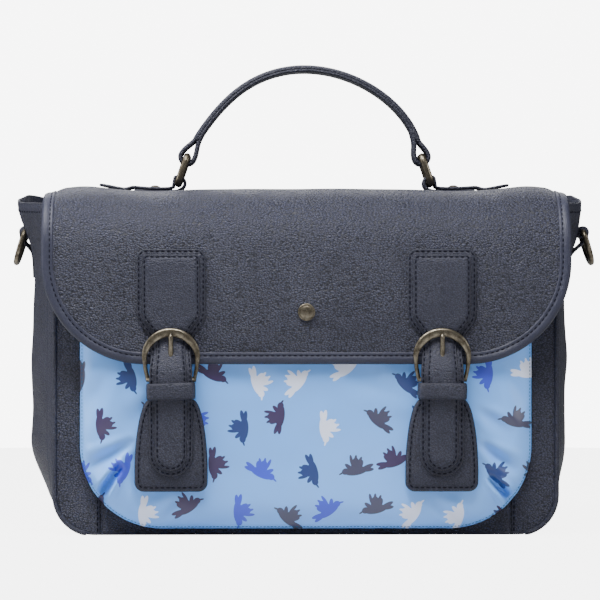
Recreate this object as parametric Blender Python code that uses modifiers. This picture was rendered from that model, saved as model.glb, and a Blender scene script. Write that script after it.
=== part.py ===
"""Satchel-style diaper bag: leather shell on a U-shaped gusset, coated-cloth front pocket, and a full flap
with two buckle straps whose lower tabs close on magnetic snaps. Metres, +Z up, front faces -Y.
The origin is on the floor, at the centre of the whole bag."""

import math

import bmesh
import bpy
from mathutils import Matrix, Vector

MM = 0.001
GAP = 0.3 * MM  # air kept between two pieces that touch

# Bag shell
HALF_WIDTH = 190 * MM  # at the front and back seams
RIM_Z = 250 * MM
CORNER_R = 30 * MM  # lower corners of the front and back panels
LEATHER = 2.2 * MM
FRONT_SEAM_Y = -50.0 * MM
BACK_SEAM_Y = 82.0 * MM
SIDE_SEAM_X = 155 * MM  # where the pieced front panel and the gusset are joined
SIDE_BULGE = 14 * MM  # how far the side gussets swell out at mid height
MOUTH_FLARE = 11 * MM  # how much more they flare at the mouth
FLARE_START_Z = 190 * MM

# Front pocket
POCKET_HALF_WIDTH = 170 * MM
POCKET_BOTTOM_Z = 5 * MM
POCKET_TOP_Z = 205 * MM
POCKET_CORNER = (58 * MM, 51 * MM)
POCKET_DEPTH = 16.5 * MM
POCKET_EDGE_ROLL = 22 * MM
POCKET_CLOTH = 1.2 * MM

# Flap
FLAP_HALF_WIDTH = 198 * MM
FLAP_BOTTOM_Z = 129 * MM
FLAP_TOP_Z = 262 * MM
FLAP_CORNER = (79 * MM, 71 * MM)
FLAP_LINING = 0.8 * MM
BINDING_WIDTH = 9.5 * MM
FLAP_FACE_Y = -72.5 * MM  # outer face of the hanging front of the flap
FLAP_BACK_Y = BACK_SEAM_Y + 4.5 * MM  # outer face of the strip sewn to the back
FLAP_BUILD = LEATHER + GAP + FLAP_LINING
SEWN_STRIP_BOTTOM_Z = 212 * MM

# Buckle straps, one each side of the centre
STRAP_X = 101 * MM
STRAP_LAYER = 1.9 * MM
SHIELD_TOP_Z = 215 * MM
SHIELD_HALF_WIDTH = 26 * MM
STRAP_HALF_WIDTH = 16 * MM
STRAP_END_Z = 46 * MM
SQUEEZE_Z = 138 * MM  # the strap draws in here to pass through the buckle
STRAP_SQUEEZE = 1.3 * MM
OVERLAY_INSET = 4.4 * MM
BAR_Y = -76.8 * MM
BAR_Z = 117.8 * MM
ARC_HALF_WIDTH = 19 * MM
FRAME_RISE = 36 * MM  # from the bar to the middle of the arc
FRAME_BAND = 5.4 * MM
FRAME_THICK = 3.4 * MM
BAR_BAND = 3.8 * MM
FRAME_LEAN = math.radians(4.5)
PRONG_R = 1.5 * MM
KEEPER_Z = (103.6 * MM, 114.6 * MM)
TAB_HALF_WIDTH = 27.5 * MM
TAB_BOTTOM_Z = 34 * MM
TAB_FACE_Y = -78.2 * MM
TAB_THICK = 5.6 * MM
SNAP_Z = 64 * MM
SNAP_R = 9 * MM

# Carrying handle
HANDLE_Y = 14 * MM
HANDLE_RING_X = 97.5 * MM
HANDLE_WIDTH = 22 * MM
HANDLE_LAYER = 2.1 * MM
HANDLE_RISE_Z = 355 * MM  # middle of the strap at the top of the arch
WIRE_R = 2.2 * MM
RING_HALF_SPAN = 14.4 * MM  # half the ring's size along its bars, at the wire's middle
RING_DROP = 21.5 * MM  # between the middles of its two bars
RING_TILT = math.radians(19)
TAB_LOOP_R = 4.9 * MM

# Side rings for a shoulder strap
SIDE_RING_Z = 229.5 * MM
SIDE_RING_X = 215.5 * MM
SIDE_RING_TILT = math.radians(17)
SIDE_RING_DROP = 24.5 * MM
BODY_MID_Y = (FRONT_SEAM_Y + BACK_SEAM_Y) / 2

NAVY = (0.045, 0.055, 0.085)
SKY = (0.23, 0.46, 0.72)
SLATE_CLOTH = (0.12, 0.14, 0.19)
OLD_BRASS = (0.25, 0.21, 0.15)
STEEL = (0.45, 0.45, 0.44)
BOARD = (0.05, 0.05, 0.05)


def clear_scene():
    for obj in list(bpy.data.objects):
        bpy.data.objects.remove(obj)


def make_material(name, colour, roughness, metallic):
    material = bpy.data.materials.new(name)
    material.use_nodes = True
    shader = material.node_tree.nodes["Principled BSDF"]
    shader.inputs["Base Color"].default_value = (*colour, 1)
    shader.inputs["Roughness"].default_value = roughness
    shader.inputs["Metallic"].default_value = metallic
    return material


def make_collection(name):
    collection = bpy.data.collections.new(name)
    bpy.context.scene.collection.children.link(collection)
    return collection


clear_scene()
PARTS = make_collection("diaper_bag")
CUTTERS = make_collection("cutters")
LEATHER_MAT = make_material("navy_leather", NAVY, 0.55, 0)
CLOTH_MAT = make_material("printed_cloth", SKY, 0.4, 0)
LINING_MAT = make_material("lining_cloth", SLATE_CLOTH, 0.9, 0)
BRASS_MAT = make_material("old_brass", OLD_BRASS, 0.4, 1)
STEEL_MAT = make_material("snap_steel", STEEL, 0.3, 1)
BOARD_MAT = make_material("base_board", BOARD, 0.7, 0)


def add_object(name, data, material, collection=PARTS):
    obj = bpy.data.objects.new(name, data)
    if material:
        data.materials.append(material)
    collection.objects.link(obj)
    if collection is CUTTERS:
        obj.hide_render = True
        obj.display_type = "WIRE"
    return obj


def boolean(obj, other, operation):
    modifier = obj.modifiers.new(operation.lower(), "BOOLEAN")
    modifier.operation = operation
    modifier.object = other


def box(name, low, high, material=None, collection=PARTS):
    """A box between two corners."""
    bm = bmesh.new()
    bmesh.ops.create_cube(bm, size=1)
    low, high = Vector(low), Vector(high)
    bmesh.ops.scale(bm, vec=high - low, verts=bm.verts)
    bmesh.ops.translate(bm, vec=(low + high) / 2, verts=bm.verts)
    mesh = bpy.data.meshes.new(name)
    bm.to_mesh(mesh)
    bm.free()
    return add_object(name, mesh, material, collection)


def rod(name, start, end, radius, material=None, collection=PARTS, sides=24):
    """A cylinder between two points."""
    start, end = Vector(start), Vector(end)
    bm = bmesh.new()
    turn = (end - start).to_track_quat("Z", "Y").to_matrix().to_4x4()
    bmesh.ops.create_cone(
        bm,
        cap_ends=True,
        segments=sides,
        radius1=radius,
        radius2=radius,
        depth=(end - start).length,
        matrix=Matrix.Translation((start + end) / 2) @ turn,
    )
    mesh = bpy.data.meshes.new(name)
    bm.to_mesh(mesh)
    bm.free()
    return add_object(name, mesh, material, collection)


def arc_points(centre, radii, start_deg, end_deg, steps):
    """Points of an elliptical arc in a flat outline."""
    angles = [math.radians(start_deg + (end_deg - start_deg) * i / steps) for i in range(steps + 1)]
    return [(centre[0] + radii[0] * math.cos(a), centre[1] + radii[1] * math.sin(a)) for a in angles]


def rounded_base(half_width, bottom, top, radii, steps=8):
    """An upright outline with rounded lower corners, as (x, z) points."""
    left = arc_points((-half_width + radii[0], bottom + radii[1]), radii, 180, 270, steps)
    right = [(-x, z) for x, z in reversed(left)]
    return [(-half_width, top), *left, *right, (half_width, top)]


def flat_plate(name, outlines, mid_y, thickness, material, collection=PARTS):
    """A plate in the XZ plane from one outer outline and any holes, its middle at mid_y."""
    curve = bpy.data.curves.new(name, "CURVE")
    curve.dimensions = "2D"
    curve.fill_mode = "BOTH"
    curve.extrude = thickness / 2
    for outline in outlines:
        spline = curve.splines.new("POLY")
        spline.points.add(len(outline) - 1)
        spline.use_cyclic_u = True
        for point, (x, z) in zip(spline.points, outline):
            point.co = (x, z, 0, 1)
    obj = add_object(name, curve, material, collection)
    obj.rotation_euler = (math.pi / 2, 0, 0)
    obj.location = (0, mid_y, 0)
    return obj


def sheet(name, columns, rows, place, thickness, material, flip=False):
    """A grid whose point at shares (u, v) is place(u, v), thickened on its inner side."""
    bm = bmesh.new()
    bmesh.ops.create_grid(bm, x_segments=columns, y_segments=rows, size=1)
    for vert in bm.verts:
        vert.co = place((vert.co.x + 1) / 2, (vert.co.y + 1) / 2)
    if flip:
        bmesh.ops.reverse_faces(bm, faces=bm.faces)
    mesh = bpy.data.meshes.new(name)
    bm.to_mesh(mesh)
    bm.free()
    obj = add_object(name, mesh, material)
    solidify = obj.modifiers.new("thickness", "SOLIDIFY")
    solidify.thickness = thickness
    solidify.offset = -1
    return obj


def as_mesh(obj):
    """The object made a plain mesh in place, so that it can be cut or joined."""
    bpy.context.view_layer.update()
    graph = bpy.context.evaluated_depsgraph_get()
    mesh = bpy.data.meshes.new_from_object(obj.evaluated_get(graph))
    mesh.transform(obj.matrix_world)
    bm = bmesh.new()
    bm.from_mesh(mesh)
    bmesh.ops.remove_doubles(bm, verts=bm.verts, dist=0.01 * MM)
    bmesh.ops.recalc_face_normals(bm, faces=bm.faces)
    bm.to_mesh(mesh)
    bm.free()
    name, collection = obj.name, obj.users_collection[0]
    bpy.data.objects.remove(obj)
    mesh.name = name
    return add_object(name, mesh, None, collection)


def ease(share):
    share = min(max(share, 0), 1)
    return share * share * (3 - 2 * share)


def roll(share):
    """A quarter round from 0 to 1."""
    return math.sqrt(max(0, 1 - (1 - min(max(share, 0), 1)) ** 2))


# ---------------------------------------------------------------- bag shell


def side_bulge(z):
    flare = max(0, (z - FLARE_START_Z) / (RIM_Z - FLARE_START_Z)) ** 1.5
    return SIDE_BULGE * ease(z / (90 * MM)) + MOUTH_FLARE * flare


def gusset_path(share):
    """The side gusset's seam from the base round the corner to the rim: x, z and the outward normal."""
    flat = HALF_WIDTH - CORNER_R - SIDE_SEAM_X
    bend = CORNER_R * math.pi / 2
    upright = RIM_Z - CORNER_R
    run = share * (flat + bend + upright)
    if run < flat:
        return SIDE_SEAM_X + run, 0, 0, -1
    if run < flat + bend:
        angle = (run - flat) / CORNER_R
        x = HALF_WIDTH - CORNER_R + CORNER_R * math.sin(angle)
        return x, CORNER_R - CORNER_R * math.cos(angle), math.sin(angle), -math.cos(angle)
    return HALF_WIDTH, CORNER_R + run - flat - bend, 1, 0


def make_side_gusset(name, side):
    front = FRONT_SEAM_Y + LEATHER / 2 + GAP
    back = BACK_SEAM_Y - LEATHER / 2 - GAP

    def place(u, v):
        x, z, out_x, out_z = gusset_path(v)
        push = side_bulge(z) * math.sin(math.pi * u) ** 0.8 * max(0, out_x)
        return Vector((side * (x + GAP / 2 + out_x * push), front + u * (back - front), z + out_z * push))

    return sheet(name, 12, 24, place, LEATHER, LEATHER_MAT, flip=side < 0)


def make_shell():
    centre = [(-SIDE_SEAM_X + GAP / 2, 0), (SIDE_SEAM_X - GAP / 2, 0)]
    centre += [(SIDE_SEAM_X - GAP / 2, RIM_Z), (-SIDE_SEAM_X + GAP / 2, RIM_Z)]
    flat_plate("front_panel", [centre], FRONT_SEAM_Y, LEATHER, LEATHER_MAT)
    for label, side in (("left", -1), ("right", 1)):
        corner = arc_points((HALF_WIDTH - CORNER_R, CORNER_R), (CORNER_R, CORNER_R), -90, 0, 8)
        edge = [(SIDE_SEAM_X + GAP / 2, 0), *corner, (HALF_WIDTH, RIM_Z), (SIDE_SEAM_X + GAP / 2, RIM_Z)]
        outline = [(side * x, z) for x, z in edge]
        flat_plate(f"front_side_{label}", [outline], FRONT_SEAM_Y, LEATHER, LEATHER_MAT)
        make_side_gusset(f"side_gusset_{label}", side)
    back = rounded_base(HALF_WIDTH, 0, RIM_Z, (CORNER_R, CORNER_R))
    flat_plate("back_panel", [back], BACK_SEAM_Y, LEATHER, LEATHER_MAT)
    front_in = FRONT_SEAM_Y + LEATHER / 2 + GAP
    back_in = BACK_SEAM_Y - LEATHER / 2 - GAP
    reach = SIDE_SEAM_X - GAP / 2
    box("base_gusset", (-reach, front_in, 0), (reach, back_in, LEATHER), LEATHER_MAT)
    board_low = LEATHER + GAP
    board_high = board_low + 2.4 * MM
    board_front, board_back = front_in + 2 * MM, back_in - 2 * MM
    box("base_board", (-reach, board_front, board_low), (reach, board_back, board_high), BOARD_MAT)
    make_lining(front_in + GAP, back_in - GAP, board_high + GAP)


def is_lower_corner(edge, mid_z):
    """Whether an edge runs front to back below mid_z."""
    first, second = (vert.co for vert in edge.verts)
    return max(first.z, second.z) < mid_z and abs(first.y - second.y) > 10 * MM


def make_lining(front, back, bottom):
    """The lining: an open-topped cloth tub just inside the leather."""
    reach = HALF_WIDTH - LEATHER - 1.5 * MM
    bm = bmesh.new()
    bmesh.ops.create_cube(bm, size=1)
    bmesh.ops.scale(bm, vec=(2 * reach, back - front, RIM_Z - 4 * MM - bottom), verts=bm.verts)
    middle = Vector((0, (front + back) / 2, (RIM_Z - 4 * MM + bottom) / 2))
    bmesh.ops.translate(bm, vec=middle, verts=bm.verts)
    top = [face for face in bm.faces if face.normal.z > 0.9]
    bmesh.ops.delete(bm, geom=top, context="FACES_ONLY")
    lower = [e for e in bm.edges if is_lower_corner(e, middle.z)]
    bmesh.ops.bevel(bm, geom=lower, offset=CORNER_R, segments=6, profile=0.5, affect="EDGES")
    mesh = bpy.data.meshes.new("lining")
    bm.to_mesh(mesh)
    bm.free()
    lining = add_object("lining", mesh, LINING_MAT)
    solidify = lining.modifiers.new("thickness", "SOLIDIFY")
    solidify.thickness = 0.8 * MM
    solidify.offset = -1


# ---------------------------------------------------------------- front pocket


def pocket_half_width(z):
    """Half the pocket's width at a height, with its rounded lower corners."""
    share = min(1, (z - POCKET_BOTTOM_Z) / POCKET_CORNER[1])
    return POCKET_HALF_WIDTH - POCKET_CORNER[0] * (1 - roll(share))


def make_pocket():
    back = FRONT_SEAM_Y - LEATHER / 2 - GAP - POCKET_CLOTH

    def place(u, v):
        z = POCKET_BOTTOM_Z + (POCKET_TOP_Z - POCKET_BOTTOM_Z) * v**1.4
        half = pocket_half_width(z)
        across = math.sin((u - 0.5) * math.pi)  # columns crowd towards the rolled sides
        from_side = (1 - abs(across)) * half
        swell = roll(from_side / POCKET_EDGE_ROLL) * roll((z - POCKET_BOTTOM_Z) / POCKET_EDGE_ROLL)
        return Vector((across * half, back - (POCKET_DEPTH - POCKET_CLOTH) * swell, z))

    return sheet("front_pocket", 26, 18, place, POCKET_CLOTH, CLOTH_MAT)


# ---------------------------------------------------------------- flap


def flap_edge(inset, steps=10):
    """The hanging flap's outline at a distance inside its edge: (x, z) from top left to top right."""
    radii = (FLAP_CORNER[0] - inset, FLAP_CORNER[1] - inset)
    top = FLAP_TOP_Z - FLAP_BUILD - GAP
    return rounded_base(FLAP_HALF_WIDTH - inset, FLAP_BOTTOM_Z + inset, top, radii, steps)


def make_flap():
    inner = flap_edge(BINDING_WIDTH + GAP)
    panel_y = FLAP_FACE_Y + LEATHER / 2
    flat_plate("flap_panel", [inner], panel_y, LEATHER, LEATHER_MAT)
    flat_plate("flap_lining", [inner], FLAP_FACE_Y + FLAP_BUILD - FLAP_LINING / 2, FLAP_LINING, LINING_MAT)
    band = flap_edge(0) + list(reversed(flap_edge(BINDING_WIDTH)))
    flat_plate("flap_binding", [band], FLAP_FACE_Y + FLAP_BUILD / 2, FLAP_BUILD, LEATHER_MAT)
    reach = FLAP_HALF_WIDTH - 2 * MM
    front = FLAP_FACE_Y + FLAP_BUILD + GAP
    back = FLAP_BACK_Y - FLAP_BUILD - GAP
    leather_low = FLAP_TOP_Z - LEATHER
    lining_high = leather_low - GAP
    box("flap_top_panel", (-reach, front, leather_low), (reach, back, FLAP_TOP_Z), LEATHER_MAT)
    box("flap_top_lining", (-reach, front, lining_high - FLAP_LINING), (reach, back, lining_high), LINING_MAT)
    strip_front = BACK_SEAM_Y + LEATHER / 2 + GAP
    strip_top = FLAP_TOP_Z - FLAP_BUILD - GAP
    strip_low = (-reach, strip_front, SEWN_STRIP_BOTTOM_Z)
    box("flap_sewn_strip", strip_low, (reach, FLAP_BACK_Y, strip_top), LEATHER_MAT)
    badge_z = 168 * MM
    face = FLAP_FACE_Y - GAP
    badge = rod("badge", (0, face, badge_z), (0, face - 1.8 * MM, badge_z), 6.5 * MM, BRASS_MAT, sides=32)
    bevel = badge.modifiers.new("rounded rim", "BEVEL")
    bevel.width = 0.6 * MM
    bevel.segments = 2
    washer_y = FLAP_FACE_Y + FLAP_BUILD + GAP
    rod("badge_washer", (0, washer_y, badge_z), (0, washer_y + 0.6 * MM, badge_z), 5 * MM, STEEL_MAT)


# ---------------------------------------------------------------- buckle straps

# The strap's run in side view: (z, distance of its back surface in front of the flap's face). It lies on the
# flap, dives behind the buckle's arc, crosses in front of the bar and hangs over the lower tab.
STRAP_RUN = [
    (SHIELD_TOP_Z, 0.3 * MM),
    (150 * MM, 0.3 * MM),
    (BAR_Z + 3 * MM, 9.2 * MM),
    (BAR_Z - 8 * MM, 9.4 * MM),
    (92 * MM, 6.3 * MM),
    (STRAP_END_Z, 6.3 * MM),
]


def strap_back_y(z):
    """The strap's back surface at a height, eased between the points of its run."""
    for (z0, d0), (z1, d1) in zip(STRAP_RUN, STRAP_RUN[1:]):
        if z >= z1:
            return FLAP_FACE_Y - (d0 + (d1 - d0) * ease((z0 - z) / (z0 - z1)))
    return FLAP_FACE_Y - STRAP_RUN[-1][1]


def strap_half_width(z, inset):
    """Half the strap's width: a shield with rounded top corners that narrows to a strap with a round end."""
    top, end = SHIELD_TOP_Z - inset, STRAP_END_Z + inset
    shoulder, neck = 172 * MM, 146 * MM
    width = STRAP_HALF_WIDTH + (SHIELD_HALF_WIDTH - STRAP_HALF_WIDTH) * ease((z - neck) / (shoulder - neck))
    squeeze = ease(1 - abs(z - SQUEEZE_Z) / (16 * MM))
    width -= inset + STRAP_SQUEEZE * squeeze
    top_r, end_r = 7 * MM, STRAP_HALF_WIDTH - inset
    width -= top_r * (1 - roll((top - z) / top_r))
    return width - 0.72 * end_r * (1 - roll((z - end) / end_r))


def make_strap_layer(name, centre_x, inset, behind, cutter):
    """One layer of the strap: behind is how far its back surface stands in front of the strap's own back."""
    top, end = SHIELD_TOP_Z - inset, STRAP_END_Z + inset

    def place(u, v):
        z = top + (end - top) * (0.5 - 0.5 * math.cos(math.pi * v))
        x = centre_x + (2 * u - 1) * strap_half_width(z, inset)
        return Vector((x, strap_back_y(z) - behind - STRAP_LAYER, z))

    layer = sheet(name, 6, 44, place, STRAP_LAYER, LEATHER_MAT, flip=True)
    boolean(layer, cutter, "DIFFERENCE")
    return layer


def horseshoe(half_width, top, bottom, foot_half_width, steps=20):
    """A buckle outline about its bar, as (x, z) from it: a half round on sides that draw in to the foot."""
    spring = top - half_width
    crown = arc_points((0, spring), (half_width, half_width), 0, 180, steps)
    return [(foot_half_width, bottom), *crown, (-foot_half_width, bottom)]


def make_frame(name, centre_x):
    outer = horseshoe(ARC_HALF_WIDTH + FRAME_BAND / 2, FRAME_RISE + FRAME_BAND / 2, -BAR_BAND / 2, 19.5 * MM)
    inner = horseshoe(ARC_HALF_WIDTH - FRAME_BAND / 2, FRAME_RISE - FRAME_BAND / 2, BAR_BAND / 2, 15.6 * MM)
    frame = flat_plate(name, [outer, inner], 0, FRAME_THICK, BRASS_MAT)
    frame.location = (centre_x, BAR_Y, BAR_Z)
    frame.rotation_euler = (math.pi / 2 + FRAME_LEAN, 0, 0)
    return frame


def make_prong(name, centre_x):
    """The prong: a knuckle round the bar and a rod that leans out through the strap to rest on the arc."""
    reach = FRAME_RISE + 2 * MM
    tip_y = BAR_Y - FRAME_RISE * math.sin(FRAME_LEAN) - FRAME_THICK / 2 - PRONG_R - 2 * GAP
    root = Vector((centre_x, BAR_Y - 3.0 * MM, BAR_Z))
    tip = Vector((centre_x, tip_y, BAR_Z + reach))
    prong = rod(name, root, tip, PRONG_R, BRASS_MAT, sides=12)
    half = 1.9 * MM
    ends = (centre_x - half, BAR_Y, BAR_Z), (centre_x + half, BAR_Y, BAR_Z)
    knuckle = rod(f"{name}_knuckle", *ends, 4.4 * MM, None, CUTTERS, sides=20)
    boolean(prong, knuckle, "UNION")
    outside = 3 * MM
    ends = (centre_x - outside, BAR_Y, BAR_Z), (centre_x + outside, BAR_Y, BAR_Z)
    eye = rod(f"{name}_eye", *ends, 2.95 * MM, None, CUTTERS, sides=20)
    boolean(prong, eye, "DIFFERENCE")
    return prong


def tab_outline(centre_x):
    """The lower tab: a neck as wide as the strap that swells to a wide, round-cornered foot."""
    shoulder_z, full_z, corner = 103 * MM, 48 * MM, 6 * MM
    spread = (TAB_HALF_WIDTH - STRAP_HALF_WIDTH, shoulder_z - full_z)
    right = [(STRAP_HALF_WIDTH, BAR_Z), *arc_points((STRAP_HALF_WIDTH, full_z), spread, 90, 0, 10)]
    right += arc_points((TAB_HALF_WIDTH - corner, TAB_BOTTOM_Z + corner), (corner, corner), 0, -90, 5)
    left = [(-x, z) for x, z in reversed(right)]
    return [(centre_x + x, z) for x, z in right + left]


def make_lower_tab(name, centre_x):
    """The tab that carries the buckle: a plate whose neck is turned round the bar, notched for the prong."""
    mid_y = TAB_FACE_Y + TAB_THICK / 2
    tab = as_mesh(flat_plate(name, [tab_outline(centre_x)], mid_y, TAB_THICK, LEATHER_MAT))
    tab.data.materials.append(LEATHER_MAT)
    reach = STRAP_HALF_WIDTH - 1 * MM
    ends = (centre_x - reach, BAR_Y, BAR_Z), (centre_x + reach, BAR_Y, BAR_Z)
    turn = rod(f"{name}_turn", *ends, 4.7 * MM, None, CUTTERS)
    boolean(tab, turn, "UNION")
    outside = STRAP_HALF_WIDTH + 3 * MM
    ends = (centre_x - outside, BAR_Y, BAR_Z), (centre_x + outside, BAR_Y, BAR_Z)
    eye = rod(f"{name}_eye", *ends, 2.95 * MM, None, CUTTERS)
    boolean(tab, eye, "DIFFERENCE")
    notch_low = (centre_x - 2.6 * MM, BAR_Y - 9 * MM, BAR_Z - 5.4 * MM)
    notch_high = (centre_x + 2.6 * MM, BAR_Y + 9 * MM, BAR_Z + 9 * MM)
    notch = box(f"{name}_notch", notch_low, notch_high, None, CUTTERS)
    boolean(tab, notch, "DIFFERENCE")
    return tab


def make_keeper(name, centre_x):
    """A leather loop round the strap and the tab's neck."""
    wall = 1.4 * MM
    reach = STRAP_HALF_WIDTH + 0.6 * MM
    front = strap_back_y(KEEPER_Z[1]) - 2 * STRAP_LAYER - GAP - 0.4 * MM
    back = TAB_FACE_Y + TAB_THICK + 0.5 * MM
    low = (centre_x - reach - wall, front - wall, KEEPER_Z[0])
    high = (centre_x + reach + wall, back + wall, KEEPER_Z[1])
    keeper = box(name, low, high, LEATHER_MAT)
    over = 5 * MM
    hole_low = (centre_x - reach, front, KEEPER_Z[0] - over)
    hole_high = (centre_x + reach, back, KEEPER_Z[1] + over)
    hole = box(f"{name}_hole", hole_low, hole_high, None, CUTTERS)
    boolean(keeper, hole, "DIFFERENCE")
    return keeper


def make_snap(label, centre_x):
    """A magnetic snap: the socket and its washer on the pocket, the stud on the back of the lower tab."""
    pocket_face = FRONT_SEAM_Y - LEATHER / 2 - GAP - POCKET_DEPTH
    socket_back = pocket_face - GAP
    tab_back = TAB_FACE_Y + TAB_THICK
    nub_r, nub_long, plate = 3 * MM, 1.5 * MM, 1.3 * MM
    stud_face = tab_back + GAP + plate
    socket_face = stud_face + GAP

    def at(y):
        return (centre_x, y, SNAP_Z)

    socket = rod(f"snap_socket_{label}", at(socket_back), at(socket_face), SNAP_R, STEEL_MAT)
    depth = socket_face + nub_long + GAP
    recess = rod(f"snap_recess_{label}", at(socket_face - 3 * MM), at(depth), nub_r + 0.7 * MM, None, CUTTERS)
    boolean(socket, recess, "DIFFERENCE")
    stud = rod(f"snap_stud_{label}", at(tab_back + GAP), at(stud_face), SNAP_R, STEEL_MAT)
    nub = rod(f"snap_nub_{label}", at(stud_face - 0.5 * MM), at(stud_face + nub_long), nub_r, None, CUTTERS)
    boolean(stud, nub, "UNION")
    washer_face = pocket_face + POCKET_CLOTH + GAP
    rod(f"socket_washer_{label}", at(washer_face), at(washer_face + 0.8 * MM), 8 * MM, STEEL_MAT)


def make_buckle_straps():
    for label, side in (("left", -1), ("right", 1)):
        x = side * STRAP_X
        low = (x - 2.2 * MM, -95 * MM, 118.5 * MM)
        high = (x + 2.2 * MM, -65 * MM, 141 * MM)
        hole = box(f"strap_hole_{label}", low, high, None, CUTTERS)
        make_strap_layer(f"strap_base_{label}", x, 0, 0, hole)
        make_strap_layer(f"strap_overlay_{label}", x, OVERLAY_INSET, STRAP_LAYER + GAP, hole)
        make_frame(f"buckle_frame_{label}", x)
        make_prong(f"buckle_prong_{label}", x)
        make_lower_tab(f"lower_tab_{label}", x)
        make_keeper(f"keeper_{label}", x)
        make_snap(label, x)


# ---------------------------------------------------------------- rings, tabs and handle


def ring_curve(name, points, radius, material):
    """A closed wire ring through the points."""
    curve = bpy.data.curves.new(name, "CURVE")
    curve.dimensions = "3D"
    curve.bevel_depth = radius
    curve.bevel_resolution = 2
    spline = curve.splines.new("POLY")
    spline.points.add(len(points) - 1)
    spline.use_cyclic_u = True
    for point, place in zip(spline.points, points):
        point.co = (*place, 1)
    return add_object(name, curve, material)


def tilted(origin, along, y, tilt_vector):
    """A point at a distance along a ring's plane and y across it."""
    return Vector(origin) + Vector(tilt_vector) * along + Vector((0, y, 0))


def link_path(drop):
    """A rounded rectangle link as (along, across), its first bar at 0 and its second at drop."""
    r = 4.5 * MM
    span = RING_HALF_SPAN
    corners = [(r, span - r, 90, 180), (r, -span + r, 180, 270), (drop - r, -span + r, 270, 360)]
    corners += [(drop - r, span - r, 0, 90)]
    path = []
    for along, across, start, end in corners:
        path += arc_points((along, across), (r, r), start, end, 5)
    return path


def dee_path(drop):
    """A D ring as (along, across): a straight bar at 0 and a half-round bow that reaches drop."""
    span, r = 13.5 * MM, 4 * MM
    path = arc_points((r, span - r), (r, r), 90, 180, 4) + arc_points((r, -span + r), (r, r), 180, 270, 4)
    bow_start = drop - span
    return path + arc_points((bow_start, 0), (span, span), -90, 90, 14)


def make_handle_hardware():
    for label, side in (("left", -1), ("right", 1)):
        bar_z = FLAP_TOP_Z + GAP + TAB_LOOP_R
        origin = Vector((side * HANDLE_RING_X, HANDLE_Y, bar_z))
        direction = Vector((-side * math.sin(RING_TILT), 0, math.cos(RING_TILT)))
        points = [tilted(origin, a, y, direction) for a, y in link_path(RING_DROP)]
        ring_curve(f"handle_ring_{label}", points, WIRE_R, BRASS_MAT)
        half = HANDLE_WIDTH / 2
        ends = origin - Vector((0, half, 0)), origin + Vector((0, half, 0))
        tab = rod(f"handle_tab_{label}", *ends, TAB_LOOP_R, LEATHER_MAT)
        out_x = side * (HANDLE_RING_X + 61 * MM)
        near, far = sorted((origin.x, out_x))
        low = (near, HANDLE_Y - half, FLAP_TOP_Z + GAP)
        high = (far, HANDLE_Y + half, FLAP_TOP_Z + GAP + 2.6 * MM)
        boolean(tab, box(f"tab_strip_{label}", low, high, None, CUTTERS), "UNION")
        over = Vector((0, half + 3 * MM, 0))
        eye = rod(f"tab_eye_{label}", origin - over, origin + over, WIRE_R + 0.5 * MM, None, CUTTERS)
        boolean(tab, eye, "DIFFERENCE")
        rivet_x = side * (HANDLE_RING_X + 18 * MM)
        rivet_z = FLAP_TOP_Z + 2 * GAP + 2.6 * MM
        seat = Vector((rivet_x, HANDLE_Y, rivet_z))
        rivet = rod(f"handle_rivet_{label}", seat, seat + Vector((0, 0, 2 * MM)), 4.5 * MM, BRASS_MAT)
        dome = rivet.modifiers.new("domed head", "BEVEL")
        dome.width = 1.4 * MM
        dome.segments = 3


def handle_middle(share):
    """The handle's arch in front view, from left ring to right: its middle point and outward normal."""
    bar_z = FLAP_TOP_Z + GAP + TAB_LOOP_R + RING_DROP * math.cos(RING_TILT)
    end_x = HANDLE_RING_X - RING_DROP * math.sin(RING_TILT)
    reach = math.radians(69)
    angle = -reach + 2 * reach * share
    across = end_x / math.sin(reach)
    rise = (HANDLE_RISE_Z - bar_z) / (1 - math.cos(reach))
    height = HANDLE_RISE_Z - rise * (1 - math.cos(angle))
    normal = Vector((math.sin(angle) / across, 0, math.cos(angle) / rise)).normalized()
    return Vector((across * math.sin(angle), HANDLE_Y, height)), normal


def make_handle():
    half = HANDLE_WIDTH / 2
    margin = 0.04  # share of the arch that the end loops take over

    def layer(offset, start):
        def place(u, v):
            middle, normal = handle_middle(start + (1 - 2 * start) * v)
            return middle + normal * offset + Vector((0, (2 * u - 1) * half, 0))
        return place

    strap = sheet("handle_strap", 2, 44, layer(HANDLE_LAYER + GAP / 2, 0.012), HANDLE_LAYER, LEATHER_MAT)
    sheet("handle_underlay", 2, 40, layer(-GAP / 2, margin + 0.035), HANDLE_LAYER, LEATHER_MAT)
    bar_z = FLAP_TOP_Z + GAP + TAB_LOOP_R + RING_DROP * math.cos(RING_TILT)
    for side in (-1, 1):
        bar = Vector((side * (HANDLE_RING_X - RING_DROP * math.sin(RING_TILT)), HANDLE_Y, bar_z))
        reach = Vector((0, half, 0))
        loop = rod(f"handle_loop{side}", bar - reach, bar + reach, 5.8 * MM, None, CUTTERS)
        boolean(strap, loop, "UNION")
        over = Vector((0, half + 3 * MM, 0))
        eye = rod(f"handle_eye{side}", bar - over, bar + over, WIRE_R + 1.3 * MM, None, CUTTERS)
        boolean(strap, eye, "DIFFERENCE")


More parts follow.
